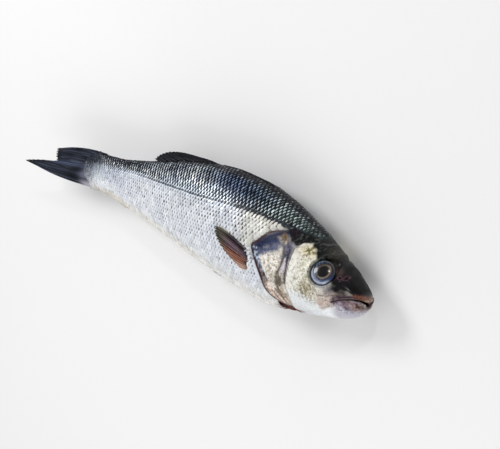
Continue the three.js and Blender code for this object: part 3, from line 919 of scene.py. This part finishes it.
def scale_plate():
    """One scale: sunk at its root, with a round free edge, about one unit long and wide."""
    root = [(-0.5, y, 0.0) for y in (-0.34, 0.0, 0.34)]
    mid = [(0.0, -0.5, 0.02), (0.0, 0.0, 0.34), (0.0, 0.5, 0.02)]
    arc = [(0.28, -0.46), (0.44, -0.25), (0.5, 0.0), (0.44, 0.25), (0.28, 0.46)]
    upper = [(x, y, 0.5 - 0.9 * y * y) for x, y in arc]
    lower = [(x - 0.03, y, -0.35) for x, y in arc]
    points = np.array(root + mid + upper + lower)
    faces = [
        (0, 3, 4, 1), (1, 4, 5, 2), (3, 6, 7), (3, 7, 4), (4, 7, 8), (4, 8, 9), (4, 9, 5), (5, 9, 10),
        (6, 11, 12, 7), (7, 12, 13, 8), (8, 13, 14, 9), (9, 14, 15, 10), (0, 11, 6, 3), (2, 5, 10, 15),
        (0, 1, 13, 12, 11), (1, 2, 15, 14, 13),
    ]
    obj = closed_piece("scale_plate", points / MM, faces, lowest=-math.inf)
    store(obj, edge=points[:, 0] + 0.5, cross=np.abs(points[:, 1]))
    return obj


def arc_table(station, count=181):
    """Section angles and skin distances from the belly to the back at a station."""
    angle = np.linspace(-math.pi / 2, math.pi / 2, count)
    ring = bare_skin(np.full(count, station), angle)
    return angle, np.append(0, np.cumsum(np.linalg.norm(np.diff(ring, axis=0), axis=1)))


def scale_front(level):
    """Foremost station of the scales: behind the gill cover, and on the nape."""
    flank = np.maximum(gill_edge(level) + 2.6, trunk_front(level) + 2.2)
    return np.where(level > 0.66, np.minimum(scale_nape(level), flank), flank)


def scale_rows(length, width):
    """Station, angle, size and pore of each scale, in shifted rows along the lateral line."""
    made = []
    s, column = SCALES_START, 0
    while s < SCALES_END:
        size = float(np.interp(s, *SCALE_GROWTH))
        angle, arc = arc_table(s)
        line = float(np.interp(angle_at(np.array(s), lateral_line(s)), angle, arc))
        step = width * size
        for row in range(math.ceil(-line / step), math.floor((arc[-1] - line) / step) + 1):
            if (row + column) % 2:
                continue
            a = float(np.interp(line + row * step, arc, angle))
            near_slit = a < 0 and float(half_width(s)) * math.cos(a) < BELLY_SLIT_BARE
            if near_slit and BELLY_SLIT_START - 5 < s < BELLY_SLIT_END + 2:
                continue
            if s > float(scale_front(math.sin(a))):
                pore = float(row == 0) * float(ramp(s, 275, 225))
                made += [(s, a, size, pore), (s, math.pi - a, size, pore)]
        s += length * size * 0.5
        column += 1
    return np.array(made).T


def build_scales(context):
    sizes = context.scene.bass_sizes
    length, width = sizes.scale_length / MM, sizes.scale_width / MM
    s, a, size, pore = scale_rows(length, width)
    random = np.random.default_rng(SCALE_SEED)
    s = s + random.normal(0, 0.10, len(s))
    a = a + random.normal(0, 0.004, len(s))
    point, normal, along = skin_frame(s, a)
    point = point + normal * (0.05 + 0.05 * ramp(s, 40, 70))[:, None]
    h = side_view_height(s, a)
    shade, tint, start = body_colours(s, h, context.scene.bass_colours)
    back = back_share(s, h, 0.6, 2.4)
    # Scales differ in brightness, most on the shoulder, and on the flank some dashes are faint.
    spread = 0.10 + back * (0.10 + 0.25 * ramp(s, 140, 90))
    vary = np.clip(random.normal(1, 1, len(s)) * spread + 1 - spread, 0.25, 1.3)[:, None]
    clusters = 0.6 + 0.4 * ramp(blotch(s, h, 13, seed=61), 0.25, 0.7)
    faint = 1 - np.clip(random.normal(0.95, 0.28, len(s)) * clusters, 0, 1.1)
    first = ramp(s - scale_front(np.sin(a)), 4.6, 2.0)
    faint = (np.maximum(faint, 0.85 * first) * (1 - back))[:, None]
    shade = shade * (1 - faint) + 0.92 * tint * faint
    obj = new_object("scales", point, [])
    store(
        obj,
        out_way=normal,
        tail_way=along,
        scale_length=size * length * 1.7 * MM,
        scale_width=size * width * 1.65 * MM,
        scale_thick=size * (0.55 - 0.3 * first * (1 - back)) * MM,
        shade=shade * vary,
        # The bright colour: silver on the flank, the painted highlight stroke on the back.
        tint=np.clip(tint * vary, 0, 1),
        gleam_start=start + random.normal(0, 0.03, len(s)),
        pore=pore,
        back=back,
    )
    plate, material = scale_plate(), scale_material()
    values = {"Plate": plate, "Lift": sizes.scale_lift, "Unevenness": 0.05}
    scale_maker().apply(obj, **values, Seed=TILT_SEED, Material=material)
    bpy.data.objects.remove(plate)
    co = np.zeros(len(obj.data.vertices) * 3)
    obj.data.vertices.foreach_get("co", co)
    co[2::3] = np.maximum(co[2::3], 0)
    obj.data.vertices.foreach_set("co", co)
    finish_piece(obj, material, smooth=False)


# ---------------------------------------------------------------- head

HEAD_ROWS = 210
HEAD_SIDES = 340
HEAD_INNER_END = (40.0, -4.0)
THROAT_ROWS = 30
THROAT_SIDES = 360
THROAT_START = 42
THROAT_END = 88
THROAT_HEIGHT = -6.0
# How far the throat's flesh lies inside the skin, and how high above the table at least.
THROAT_SUNK = 1.9
THROAT_LOWEST = 0.6

# How far each fold stands out from the head, how wide it is, and where it runs.
FOLDS = [
    (-0.4, 0.8, INNER_CREASE),
    (-0.45, 1.0, OUTER_CREASE),
    (0.35, 1.2, [(92, -4), (82, -15), (72, -23)]),
    (0.8, 3.0, [(17, -3.4), (23, -8.4), (29, -13.2)]),
    (-0.7, 0.7, [(15, -1.6), (23.5, -6.4), (31, -8.8)]),
    (-0.7, 0.8, [(21, -12.0), (25, -15.8), (29, -18.4), (32, -15)]),
    (-0.5, 0.8, [(22, -16), (34, -22), (46, -26.5), (58, -31)]),
    (-0.4, 0.7, [(6, -10.4), (16, -15.4), (26, -19)]),
]


def head_relief(s, h, angle, lip_distance):
    """How far the plates, folds and rims of the head stand out from its bare form."""
    level = np.sin(angle)
    behind = s - cheek_edge(level)
    raised = gill_relief(level) * ramp(gill_edge(level) - s, 26, 2)
    step = 0.5 * bell(behind + 1.2, 2.2) - 0.9 * bell(behind - 1.0, 1.1)
    raised += step * band(level, -0.85, 0.6, 0.1)
    for height, width, points in FOLDS:
        raised += height * bell(path_distance(s, h, points), width)
    # Eye socket with a raised rim, and the plate in front of it.
    far = np.hypot(s - EYE_STATION, h - EYE_HEIGHT)
    raised += 0.55 * bell(far - 10.9, 1.3) - 2.4 * ramp(far, 9.6, 8.6)
    raised += 0.6 * bell(np.hypot((s - 23) / 6, (h + 2.2) / 3.6), 1)
    raised += 0.75 * bell(lip_distance - 1.1, 1.0) - 0.5 * bell(lip_distance - 3.0, 0.8)
    for station, height, size in NOSTRILS:
        near = np.hypot(s - station, 1.5 * (h - height))
        raised += 0.2 * bell(near - size - 0.7, 0.5) - 1.0 * bell(near, size)
    return raised


def lip_ring(angle):
    """Station and section angle of the lips for each column of the head."""
    upper, rise = angle >= MOUTH_CORNER, angle - MOUTH_CORNER
    share = np.where(upper, rise / (math.pi / 2 - MOUTH_CORNER), -rise / (math.pi / 2 + MOUTH_CORNER))
    lips = zip(curves(UPPER_LIP), curves(LOWER_LIP))
    station, turn = [np.where(upper, above(share), below(share)) for above, below in lips]
    return station, np.radians(turn)


def both_flanks(values):
    """Values from the belly to the back on one flank, and down again on the other."""
    return np.concatenate([values, values[-2:0:-1]])


def all_round(angles):
    """Section angles from the belly to the back on one flank, and down again on the other."""
    return np.concatenate([angles, math.pi - angles[-2:0:-1]])


def build_head(context):
    natural = np.linspace(-math.pi / 2, math.pi / 2, HEAD_SIDES // 2 + 1)
    lip_s, lip_a = lip_ring(natural)
    level, flat = np.sin(natural), np.zeros(len(natural))
    edge, cover = gill_edge(level), gill_relief(level) / GILL_RELIEF_MOST
    lip_point = skin(lip_s, lip_a, flat)
    # Rows from the lips to behind the gill cover: station, angle, height and share of dark inside.
    rows = [(lip_s, lip_a, flat - 0.25, 0.6)]
    for share in np.arange(1, HEAD_ROWS + 1) / HEAD_ROWS:
        t = 0.75 * share + 0.25 * share * share
        s = lip_s + (edge - lip_s) * t
        a = lip_a + (natural - lip_a) * ramp(t, 0.0, 0.4)
        far = np.linalg.norm(skin(s, a, flat) - lip_point, axis=1)
        rows.append((s, a, head_relief(s, side_view_height(s, a), natural if t > 0.4 else a, far), 0.0))
    rim = head_relief(edge, side_view_height(edge, natural), natural, flat + 60.0)
    rows += [
        (edge + 0.45 * cover, natural, rim - 0.25, 0.0),
        (edge + 0.6 * cover, natural, rim - 0.6, 0.3),
        (edge + 0.3 * cover, natural, rim - 1.1, 0.7),
        (edge - 2.0, natural, rim - 1.8, 1.0),
        (edge - 8.0, natural, rim - 3.5, 1.0),
        (edge * 0.72, natural, flat - 6.0, 1.0),
    ]
    # Rings inside the mouth come first.
    back = place(*MOUTH_BACK, 0.0)
    lips = skin(both_flanks(lip_s), all_round(lip_a), both_flanks(flat - 0.2))
    rings = [back + (lips - back) * share for share in (0.3, 0.62, 0.86)]
    rows = [(lip_s, lip_a, flat, 1.0)] * len(rings) + rows
    s = np.array([both_flanks(row[0]) for row in rows])
    a = np.array([all_round(row[1]) for row in rows])
    raised = np.array([both_flanks(row[2]) for row in rows])
    inside = np.repeat([row[3] for row in rows], s.shape[1])
    rings = np.concatenate([rings, skin(s, a, raised)[len(rings):]])
    points, faces = closed_net(rings, back, place(*HEAD_INNER_END, 0.0))
    obj = closed_piece("head", points, faces)
    h = np.append(side_view_height(s, a), [MOUTH_BACK[1], HEAD_INNER_END[1]])
    s = np.append(s, [MOUTH_BACK[0], HEAD_INNER_END[0]])
    inside = np.append(inside, [1, 1])
    tint = blend(head_colours(s, h, context.scene.bass_colours), inside, (46, 20, 20))
    store(
        obj,
        tint=np.clip(tint, 0, 1),
        silver=ramp(h, 14, 6) * ramp(s, 16, 40) * (1 - inside),
        fleck=head_fleck(s, h),
        wet=ramp(s, 6, 2) * 0.8,
        matt=np.maximum(ramp(h, 0, 3) * ramp(s, 30, 22), 0.6 * ramp(h, 14, 19)),
    )
    finish_piece(obj, body_material())


def build_throat(context):
    """Raw flesh that shows between the gill cover and the cut belly."""
    turn = np.linspace(0, 2 * math.pi, THROAT_SIDES, endpoint=False)
    from_belly = turn - 1.5 * math.pi
    s, turns = np.meshgrid(np.linspace(THROAT_START, THROAT_END, THROAT_ROWS), turn, indexing="ij")
    folds = 0.5 * np.sin(42 * turns + 0.4 * s) + 0.4 * np.sin(17 * turns - 0.3 * s)
    ridge = 1.6 * bell(from_belly, 0.16)
    sunk = THROAT_SUNK + 14 * ramp(abs(s - 65), 13, 24) - folds - ridge
    ends = [place(end, THROAT_HEIGHT, 0.0) for end in (THROAT_START - 1, THROAT_END + 1)]
    points, faces = closed_net(skin(s, turns, -sunk), *ends)
    obj = closed_piece("throat", points, faces, THROAT_LOWEST)
    core = np.append(np.tile(bell(from_belly, 0.36), THROAT_ROWS), [0, 0])
    store(obj, core=core * (0.5 + 0.5 * blotch(points[:, 0], points[:, 2], 2.5, seed=67)))
    finish_piece(obj, flesh_material(context.scene.bass_colours))


# ---------------------------------------------------------------- eyes

EYE_RINGS = 26
EYE_SIDES = 64
EYE_BACK = -2.3


def eye_colours(r, s, h, hues):
    """Colour of the eyeball by distance from its middle and place in the side view."""
    ds, dh = s - EYE_STATION, h - EYE_HEIGHT
    back_low = (ds * 0.85 - dh * 0.52) / EYE_RADIUS
    low = (-ds * 0.48 - dh * 0.88) / EYE_RADIUS
    mid = blotch(s, h, 1.6, seed=31)
    spoke = blotch(np.arctan2(dh, ds) * 4 + 20, r * 0.35, 0.5, seed=35)
    near = np.hypot(ds + 1.2, dh - 0.9)
    coat = Coat(s, h, hues.iris)
    for mask, colour in [
        (ramp(low, 0.35, -0.35), (36, 46, 62)),
        (ramp(spoke, 0.5, 0.8) * ramp(low, 0.0, -0.5) * 0.8, (92, 116, 144)),
        (ramp(back_low, -0.1, -0.7) * 0.9, (30, 34, 44)),
        (ramp(back_low * 0.7 + low * 0.5, 0.1, 0.8) * 0.85, (150, 156, 180)),
        (ramp(spoke * 0.5 + mid * 0.5, 0.45, 0.62) * ramp(low, -0.1, 0.4) * 0.95, (46, 60, 104)),
        (bell(r - 7.8, 0.6) * ramp(back_low + low, 0.0, 0.6) * 0.8, (186, 196, 212)),
        (ramp(r, 7.7, 8.6) * ramp(low + 0.5 * back_low, 0.5, -0.2), (20, 22, 28)),
        (ramp(near, 6.2, 5.2) * (0.5 + 0.5 * ramp(mid, 0.3, 0.6)), (46, 38, 44)),
        (bell(near - 4.5, 0.4) * (0.35 + 0.6 * ramp(back_low - low, 0.5, -0.5)), (150, 134, 108)),
        (ramp(near, 3.9, 3.4), (10, 10, 13)),
    ]:
        coat.over(mask, colour)
    return coat.colour


def build_eyes(context):
    turn = np.linspace(0, 2 * math.pi, EYE_SIDES, endpoint=False)
    swing = math.pi / 2 * np.arange(1, EYE_RINGS + 1) / EYE_RINGS
    rounds = EYE_RADIUS * np.sin(swing)
    r = np.append(rounds, [EYE_RADIUS - 0.3, EYE_RADIUS - 1.0])[:, None]
    painted = np.repeat(np.append(rounds, [EYE_RADIUS, EYE_RADIUS]), EYE_SIDES)
    material = eye_material()
    for name, node, flank in (("right_eyeball", "right_eye", 1), ("left_eyeball", "left_eye", -1)):
        centre = place(EYE_STATION, EYE_HEIGHT, flank * float(flank_at(EYE_STATION, EYE_HEIGHT)))
        facing = Vector((math.tan(EYE_TURN_FORWARD), math.tan(EYE_TURN_UP), flank)).normalized()
        aim = np.array(Vector((0, 0, 1)).rotation_difference(facing).to_matrix())
        bulge, sunk = EYE_BULGE[flank], EYE_SUNK[flank]
        z = np.append(bulge * np.cos(swing) - sunk, [-1.9, EYE_BACK])[:, None]
        shape = np.stack(np.broadcast_arrays(r * np.cos(turn), r * np.sin(turn), z), axis=-1)
        points, faces = closed_net(shape, np.array([0, 0, bulge - sunk]), np.array([0, 0, EYE_BACK]))
        points = points @ aim.T + centre
        obj = closed_piece(name, points, faces)
        s, h = SNOUT_X - points[:, 0], points[:, 1] - CENTRE_Y
        hues = context.scene.bass_colours
        store(obj, tint=eye_colours(np.append(painted, [0, EYE_RADIUS]), s, h, hues))
        finish_piece(obj, material, [node])


# ---------------------------------------------------------------- fins

FIN_RAGGED = 0.03
FIN_STEPS = 26
RAY_STEPS = 14
RAY_SIDES = 6
# The ray width for which the ray radius of the panel is meant.
RAY_USUAL = 0.4


class Fin:
    """A thin rayed blade between a root line and a tip line."""

    def __init__(self, name, rays, root, tip, colour, sizes, swell=0.0, buried=0.0):
        self.name, self.rays, self.root, self.tip, self.colour = name, rays, root, tip, colour
        self.thick, self.thin, self.ripple, self.bow, self.ray = sizes
        self.swell, self.buried = swell, buried

    def half(self, v):
        return (self.thick + (self.thin - self.thick) * v) / 2

    def shape(self, u, v, lift):
        """Point of the blade: u runs across the rays and v from root to tip."""
        s, h, z = [a + (b - a) * v for a, b in zip(self.root(u), self.tip(u))]
        h = h + self.swell * np.sin(v * math.pi) * (1 - 2 * u)
        wave = np.cos(u * self.rays * 2 * math.pi) * self.ripple * np.minimum(1, v * 1.6)
        free = ramp(v, self.buried * 0.5, self.buried + 0.25)
        return place(s, h, z + (wave + self.bow * np.sin(v * math.pi)) * free + lift)


def build_membrane(fin, coat, hues):
    across = np.linspace(0, 1, fin.rays * 6 + 1)
    u, v = np.meshgrid(across, np.linspace(0, 1, FIN_STEPS), indexing="ij")
    notch = 0.5 - 0.5 * np.cos(u * fin.rays * 2 * math.pi) + 0.4 * blotch(u * 40, v * 0, 3, seed=17)
    reach = v * (1 - FIN_RAGGED * notch)
    half = fin.half(v) * np.sqrt(np.clip(1.02 - (2 * u - 1) ** 8, 0.1, 1))
    points, faces = closed_sheet(fin.shape(u, reach, half), fin.shape(u, reach, -half))
    obj = closed_piece(fin.name + "_fin", points, faces)
    store(obj, tint=fin.colour(np.tile(u.ravel(), 2), np.tile(v.ravel(), 2), hues))
    finish_piece(obj, coat)


def build_rays(fin, coat, maker, radius, hues):
    """Rays that fork towards the tip, on both faces of a fin."""
    w = np.linspace(0, 1, RAY_STEPS)
    points, edges, tint = [], [], []
    for ray in range(fin.rays + 1):
        for branch in (-1, 1):
            across = np.clip(ray / fin.rays + branch * 0.22 / fin.rays * ramp(w, 0.4, 1.0), 0, 1)
            for face in (1, -1):
                first = len(points) * RAY_STEPS
                edges += [(first + k, first + k + 1) for k in range(RAY_STEPS - 1)]
                points.append(fin.shape(across, w * (1 - 0.4 * FIN_RAGGED), fin.half(w) * face * 0.82))
                tint.append(fin.colour(across, w, hues) * 1.5 + 0.004)
    taper = np.tile(1.0 - 0.72 * w, len(points))
    points = np.concatenate(points)
    points[:, 2] = np.maximum(points[:, 2], fin.ray)
    obj = new_object(fin.name + "_rays", points, [], edges)
    store(obj, taper=taper, tint=np.clip(np.concatenate(tint), 0, 1))
    maker.apply(obj, Thickness=fin.ray / RAY_USUAL * radius, Sides=RAY_SIDES, Material=coat)
    finish_piece(obj, coat)


def slate(u, v, hues):
    """Near-black slate of the back and tail fins."""
    return blend(paint(14, 17, 25), blotch(u * 30, v * 12, 2.0, seed=41), hues.fin)


def tail_colour(u, v, hues):
    streak = blotch(u * 34, v * 3 + u * 6, 1.0, seed=59)
    tone = slate(u, v, hues)
    for mask, colour in [
        (ramp(streak, 0.45, 0.9) * band(v, 0.12, 0.8, 0.15) * 0.55, (84, 92, 114)),
        (bell(u - 0.5, 0.07) * band(v, 0.3, 0.9, 0.2) * 0.6, (88, 98, 126)),
        # Painted highlight at the tip of the upper lobe.
        (ramp(u, 0.25, 0.05) * ramp(v, 0.7, 0.95) * 0.7, (104, 98, 106)),
        # Painted shade where the lower lobe folds at its root, between the lobes.
        (bell(u - 0.66, 0.16) * bell(v - 0.36, 0.12) * 0.85, (18, 18, 26)),
        (ramp(v, 0.27, 0.17) * ramp(u, 0.3, 0.6) * (0.3 + 0.7 * streak), (112, 116, 132)),
        (ramp(u, 0.82, 0.98) * ramp(v + 0.3 * (1 - u), 0.3, 0.12) * 0.9, (206, 202, 214)),
    ]:
        tone = blend(tone, mask, colour)
    return tone


def dorsal_colour(u, v, hues):
    light = band(v, 0.25, 0.8, 0.2) * ramp(blotch(u * 50, v * 6, 2, seed=43), 0.4, 0.8) * 0.4
    return blend(slate(u, v, hues), light, (66, 68, 78)) * 0.55


def anal_colour(u, v, hues):
    return blend(paint(204, 198, 188), ramp(u, 0.75, 1.0) * ramp(v, 0.5, 0.9) * 0.8, (70, 76, 70))


def pectoral_colour(u, v, hues):
    streak = ramp(blotch(u * 44 + 2 * v, v * 3, 1.6, seed=47), 0.25, 0.8)
    warm = blend(paint(84, 48, 36), streak, (172, 122, 102))
    tone = blend(blend(paint(34, 26, 34), streak, (112, 92, 100)), ramp(u, 0.42, 0.62), warm)
    tone = blend(tone, ramp(u, 0.72, 0.98), (184, 156, 140))
    tone = blend(tone, ramp(u, 0.07, 0.0) * 0.9, (18, 16, 20))
    tone = blend(tone, ramp(v, 0.3, 0.1) * ramp(u, 1.05, 0.7) * 0.9, (40, 38, 48))
    tip = blend(paint(44, 44, 36), streak, (120, 116, 92))
    return blend(tone, ramp(v + 0.25 * (1 - u), 0.8, 1.1) * 0.75, tip)


def pelvic_colour(u, v, hues):
    return paint(206, 200, 198) * (0.6 + 0.4 * blotch(u * 30, v * 5, 2, seed=53))[..., None]


def fins():
    """The eight fins. Their sizes: thickness at the root and tip, ripple, bow and width of a ray."""
    tail_edge, tail_rise = curves([
        (0, 367, 7.6), (0.12, 370, 7.2), (0.3, 368, 2), (0.44, 364, -3), (0.6, 382, -6),
        (0.8, 401, -9.6), (0.9, 404, -10.8), (1, 396, -11.8),
    ])
    back_edge, back_rise = curves([
        (0, 196, 40.2), (0.3, 213, 39.0), (0.6, 229, 35.6), (0.85, 240, 30.0), (1, 244, 25.8),
    ])
    right_edge, right_rise = curves([
        (0, 132, 4.2), (0.14, 136.5, 3.4), (0.3, 134, 0.2), (0.55, 128, -5.2), (0.78, 118, -11.4),
        (1, 106, -16.6),
    ])
    left_edge, left_rise = curves([(0, 118, -15), (0.3, 130, -20), (0.6, 131, -27), (1, 112, -31)])

    def right_tip(u):
        s, h = right_edge(u), right_rise(u)
        return s, h, flank_at(s, h) + 1.6 + 2.6 * np.sin(u * math.pi)

    def left_tip(u):
        s, h = left_edge(u), left_rise(u)
        return s, h, -0.7 - flank_at(s, h)

    made = [
        Fin("tail", 17, lambda u: (304 + 8 * np.sin(u * math.pi), 15.1 - 31.3 * u, 0 * u),
            lambda u: (tail_edge(u), tail_rise(u), 2.5 * np.sin((u - 0.4) * 5)),
            tail_colour, (2.6, 0.7, 0.3, 1.0, 0.36), swell=2.5, buried=0.3),
        Fin("first_dorsal", 9, lambda u: (98 + 52 * u, back_height(98 + 52 * u) - 2.2, 0 * u),
            lambda u: (116 + 52 * u, back_height(116 + 52 * u) + 1.6 - 0.6 * u, 0.8 + 0 * u),
            dorsal_colour, (2.8, 0.7, 0.3, 0.3, 0.5)),
        Fin("second_dorsal", 13, lambda u: (166 + 62 * u, back_height(166 + 62 * u) - 2.0, 0 * u),
            lambda u: (back_edge(u), back_rise(u), 1.2 + 0 * u),
            dorsal_colour, (2.4, 0.6, 0.3, 0.4, 0.34), swell=1.2),
        Fin("anal", 10, lambda u: (244 + 38 * u, belly_height(244 + 38 * u) + 2.0, 0 * u),
            lambda u: (268 + 46 * u, belly_height(268 + 46 * u) - 3.4 + 2.8 * u, -0.8 + 0 * u),
            anal_colour, (2.2, 0.6, 0.3, -0.3, 0.4)),
        Fin("right_pectoral", 14,
            lambda u: (89.5 + 5.5 * u, -5.0 - 10.0 * u, flank_at(94, -5.0 - 10.0 * u) - 1.7), right_tip,
            pectoral_colour, (2.2, 0.4, 0.3, 0.8, 0.3), swell=1.2),
        Fin("left_pectoral", 14, lambda u: (93 + 2 * u, -8 - 11 * u, 0.8 - flank_at(94, -8 - 11 * u)),
            left_tip, pectoral_colour, (2.2, 0.6, 0.25, -0.4, 0.4)),
    ]
    for name, side in (("right_pelvic", 1), ("left_pelvic", -1)):
        made.append(Fin(
            name, 6,
            lambda u, side=side: (106 + 8 * u, belly_height(106 + 8 * u) + 2.2, side * (4.5 + 3 * u)),
            lambda u, side=side: (
                138 + 6 * u, belly_height(138 + 6 * u) + 1.1 + 0.5 * u, side * (2.6 + 6 * u),
            ),
            pelvic_colour, (2.0, 0.7, 0.25, 0.2, 0.36),
        ))
    return made


def build_fins(context):
    radius, hues = context.scene.bass_sizes.ray_radius, context.scene.bass_colours
    membrane, ray_coat = fin_material("fin_membrane", 0.4), fin_material("fin_rays", 0.32)
    maker = ray_maker()
    for fin in fins():
        build_membrane(fin, membrane, hues)
        build_rays(fin, ray_coat, maker, radius, hues)


# ---------------------------------------------------------------- stage

CAMERA_TOWARD_HEAD = math.radians(42.374)
CAMERA_TOWARD_BACK = math.radians(14.359)
CAMERA_ROLL = math.radians(15.263)
CAMERA_DISTANCE = 942.57
CAMERA_AIM = (37.179, -11.742)
CAMERA_LENS = 86.4
CAMERA_SENSOR = 36
CAMERA_CENTRE = (22.15, CENTRE_Y, MIDDLE_HEIGHT)
FLOOR_HALF = 3000
SKY_STRENGTH = 0.58
SKY_STRENGTH_IN_GLINTS = 0.2
# Name, place in metres, size and power of each light.
LIGHTS = [
    ("tail_side", (-0.70, 0.43, 1.0), 0.5, 6.0),
    ("head_side", (0.45, 0.95, 0.9), 0.14, 1.6),
    ("low_glint", (0.3, 1.3, 0.35), 0.08, 0.15),
    ("belly_side", (0.75, -0.9, 0.8), 0.9, 6.0),
]


def build_camera():
    """The camera stands over the head and is rolled, as the photograph's is."""
    level = math.cos(CAMERA_TOWARD_BACK)
    back = np.array([
        math.sin(CAMERA_TOWARD_HEAD) * level,
        math.sin(CAMERA_TOWARD_BACK),
        math.cos(CAMERA_TOWARD_HEAD) * level,
    ])
    up = np.array([0, 1, 0]) - back * back[1]
    up /= np.linalg.norm(up)
    right = np.cross(up, back)
    c, n = math.cos(CAMERA_ROLL), math.sin(CAMERA_ROLL)
    across, upright = right * c + up * n, up * c - right * n
    aside = across * CAMERA_AIM[0] + upright * CAMERA_AIM[1]
    spot = aside + back * CAMERA_DISTANCE + np.array(CAMERA_CENTRE)
    data = bpy.data.cameras.new("camera")
    data.lens, data.sensor_width = CAMERA_LENS, CAMERA_SENSOR
    data.clip_start, data.clip_end = 0.05, 20
    camera = bpy.data.objects.new("camera", data)
    turned = Matrix(np.stack([across, upright, back], axis=1).tolist()).to_4x4()
    camera.matrix_world = Matrix.Translation(Vector(spot * MM)) @ turned
    bpy.context.scene.collection.objects.link(camera)
    bpy.context.scene.camera = camera


def add_light(name, spot, size, power):
    data = bpy.data.lights.new(name, "AREA")
    data.shape, data.size, data.energy = "DISK", size, power
    light = bpy.data.objects.new(name, data)
    light.location = spot
    light.rotation_euler = (-Vector(spot)).to_track_quat("-Z", "Y").to_euler()
    bpy.context.scene.collection.objects.link(light)


def build_stage(context):
    build_camera()
    corners = [(x * FLOOR_HALF, y * FLOOR_HALF, 0) for x, y in ((-1, -1), (1, -1), (1, 1), (-1, 1))]
    floor = new_object("floor", corners, [(0, 1, 2, 3)])
    floor.data.materials.append(floor_material())
    for light in LIGHTS:
        add_light(*light)
    world = bpy.data.worlds.new("studio")
    world.use_nodes = True
    nodes, links = world.node_tree.nodes, world.node_tree.links
    backdrop, path = nodes["Background"], nodes.new("ShaderNodeLightPath")
    dimmed = nodes.new("ShaderNodeMapRange")
    dimmed.inputs["To Min"].default_value = SKY_STRENGTH
    dimmed.inputs["To Max"].default_value = SKY_STRENGTH_IN_GLINTS
    links.new(path.outputs["Is Glossy Ray"], dimmed.inputs["Value"])
    links.new(dimmed.outputs["Result"], backdrop.inputs["Strength"])
    backdrop.inputs["Color"].default_value = (1, 1, 1, 1)
    context.scene.world = world
    context.scene.view_settings.view_transform = "Standard"


# ---------------------------------------------------------------- add-on


class BassSizes(bpy.types.PropertyGroup):
    """Sizes that a user may change."""

    scale_length: FloatProperty(
        name="Scale length", description="Distance between two scales along the body",
        default=0.0035, min=0.002, max=0.006, unit="LENGTH",
    )
    scale_width: FloatProperty(
        name="Scale width", description="Distance between two rows of scales",
        default=0.0029, min=0.0015, max=0.006, unit="LENGTH",
    )
    scale_lift: FloatProperty(
        name="Scale lift", description="Angle by which the free edges of the scales stand up",
        default=math.radians(5), min=0, max=math.radians(15), unit="ROTATION",
    )
    ray_radius: FloatProperty(
        name="Ray radius", description="Radius of a fin ray at its root",
        default=0.0004, min=0.0001, max=0.001, unit="LENGTH",
    )


def colour_property(name, description, *shown):
    """A colour that a user may change, given as it looks on a screen."""
    return FloatVectorProperty(
        name=name, description=description,
        default=tuple(paint(*shown)), min=0, max=1, size=3, subtype="COLOR",
    )


class BassColours(bpy.types.PropertyGroup):
    """Colours that a user may change."""

    back: colour_property("Back", "Dark ground of the back", 6, 13, 30)
    # Colour of the painted highlight strokes on the scales of the back.
    painted_glint: colour_property("Gleam", "Bright strokes on the scales of the back", 228, 240, 252)
    flank: colour_property("Flank", "Silver of the flank", 229, 233, 239)
    cheek: colour_property("Cheek", "Cream of the cheek and gill cover", 240, 237, 226)
    iris: colour_property("Iris", "Blue of the iris", 92, 106, 130)
    fin: colour_property("Fin", "Lighter tone of the back and tail fins", 38, 42, 54)
    flesh: colour_property("Flesh", "Lighter tone of the raw flesh", 46, 22, 20)


class SEABASS_OT_stage(bpy.types.Operator):
    """Make the camera, the lights and the floor"""

    bl_idname = "seabass.stage"
    bl_label = "Stage"

    def execute(self, context):
        build_stage(context)
        return {"FINISHED"}


class SEABASS_OT_trunk(bpy.types.Operator):
    """Make the skin of the trunk with its belly cut"""

    bl_idname = "seabass.trunk"
    bl_label = "Trunk"

    def execute(self, context):
        build_trunk(context)
        return {"FINISHED"}


class SEABASS_OT_head(bpy.types.Operator):
    """Make the head with its gill covers and mouth"""

    bl_idname = "seabass.head"
    bl_label = "Head"

    def execute(self, context):
        build_head(context)
        return {"FINISHED"}


class SEABASS_OT_throat(bpy.types.Operator):
    """Make the raw flesh that shows at the throat"""

    bl_idname = "seabass.throat"
    bl_label = "Throat"

    def execute(self, context):
        build_throat(context)
        return {"FINISHED"}


class SEABASS_OT_scales(bpy.types.Operator):
    """Lay the scales in rows along both flanks"""

    bl_idname = "seabass.scales"
    bl_label = "Scales"

    def execute(self, context):
        build_scales(context)
        return {"FINISHED"}


class SEABASS_OT_eyes(bpy.types.Operator):
    """Make both eyeballs"""

    bl_idname = "seabass.eyes"
    bl_label = "Eyes"

    def execute(self, context):
        build_eyes(context)
        return {"FINISHED"}


class SEABASS_OT_fins(bpy.types.Operator):
    """Make the fins with their rays"""

    bl_idname = "seabass.fins"
    bl_label = "Fins"

    def execute(self, context):
        build_fins(context)
        return {"FINISHED"}


STEPS = [
    SEABASS_OT_stage,
    SEABASS_OT_trunk,
    SEABASS_OT_head,
    SEABASS_OT_throat,
    SEABASS_OT_scales,
    SEABASS_OT_eyes,
    SEABASS_OT_fins,
]


class SEABASS_PT_pieces(bpy.types.Panel):
    """Sizes, colours and steps of the fish"""

    bl_label = "Sea Bass"
    bl_idname = "SEABASS_PT_pieces"
    bl_space_type = "VIEW_3D"
    bl_region_type = "UI"
    bl_category = "Sea Bass"

    def draw(self, context):
        for group in (context.scene.bass_sizes, context.scene.bass_colours):
            for name in type(group).__annotations__:
                self.layout.prop(group, name)
        for step in STEPS:
            self.layout.operator(step.bl_idname)


CLASSES = [BassSizes, BassColours, *STEPS, SEABASS_PT_pieces]


def register():
    for cls in CLASSES:
        bpy.utils.register_class(cls)
    bpy.types.Scene.bass_sizes = PointerProperty(type=BassSizes)
    bpy.types.Scene.bass_colours = PointerProperty(type=BassColours)


def unregister():
    del bpy.types.Scene.bass_colours
    del bpy.types.Scene.bass_sizes
    for cls in reversed(CLASSES):
        bpy.utils.unregister_class(cls)


def main():
    register()
    for step in STEPS:
        name = step.bl_idname.split(".")[1]
        getattr(bpy.ops.seabass, name)()


if __name__ == "__main__":
    main()
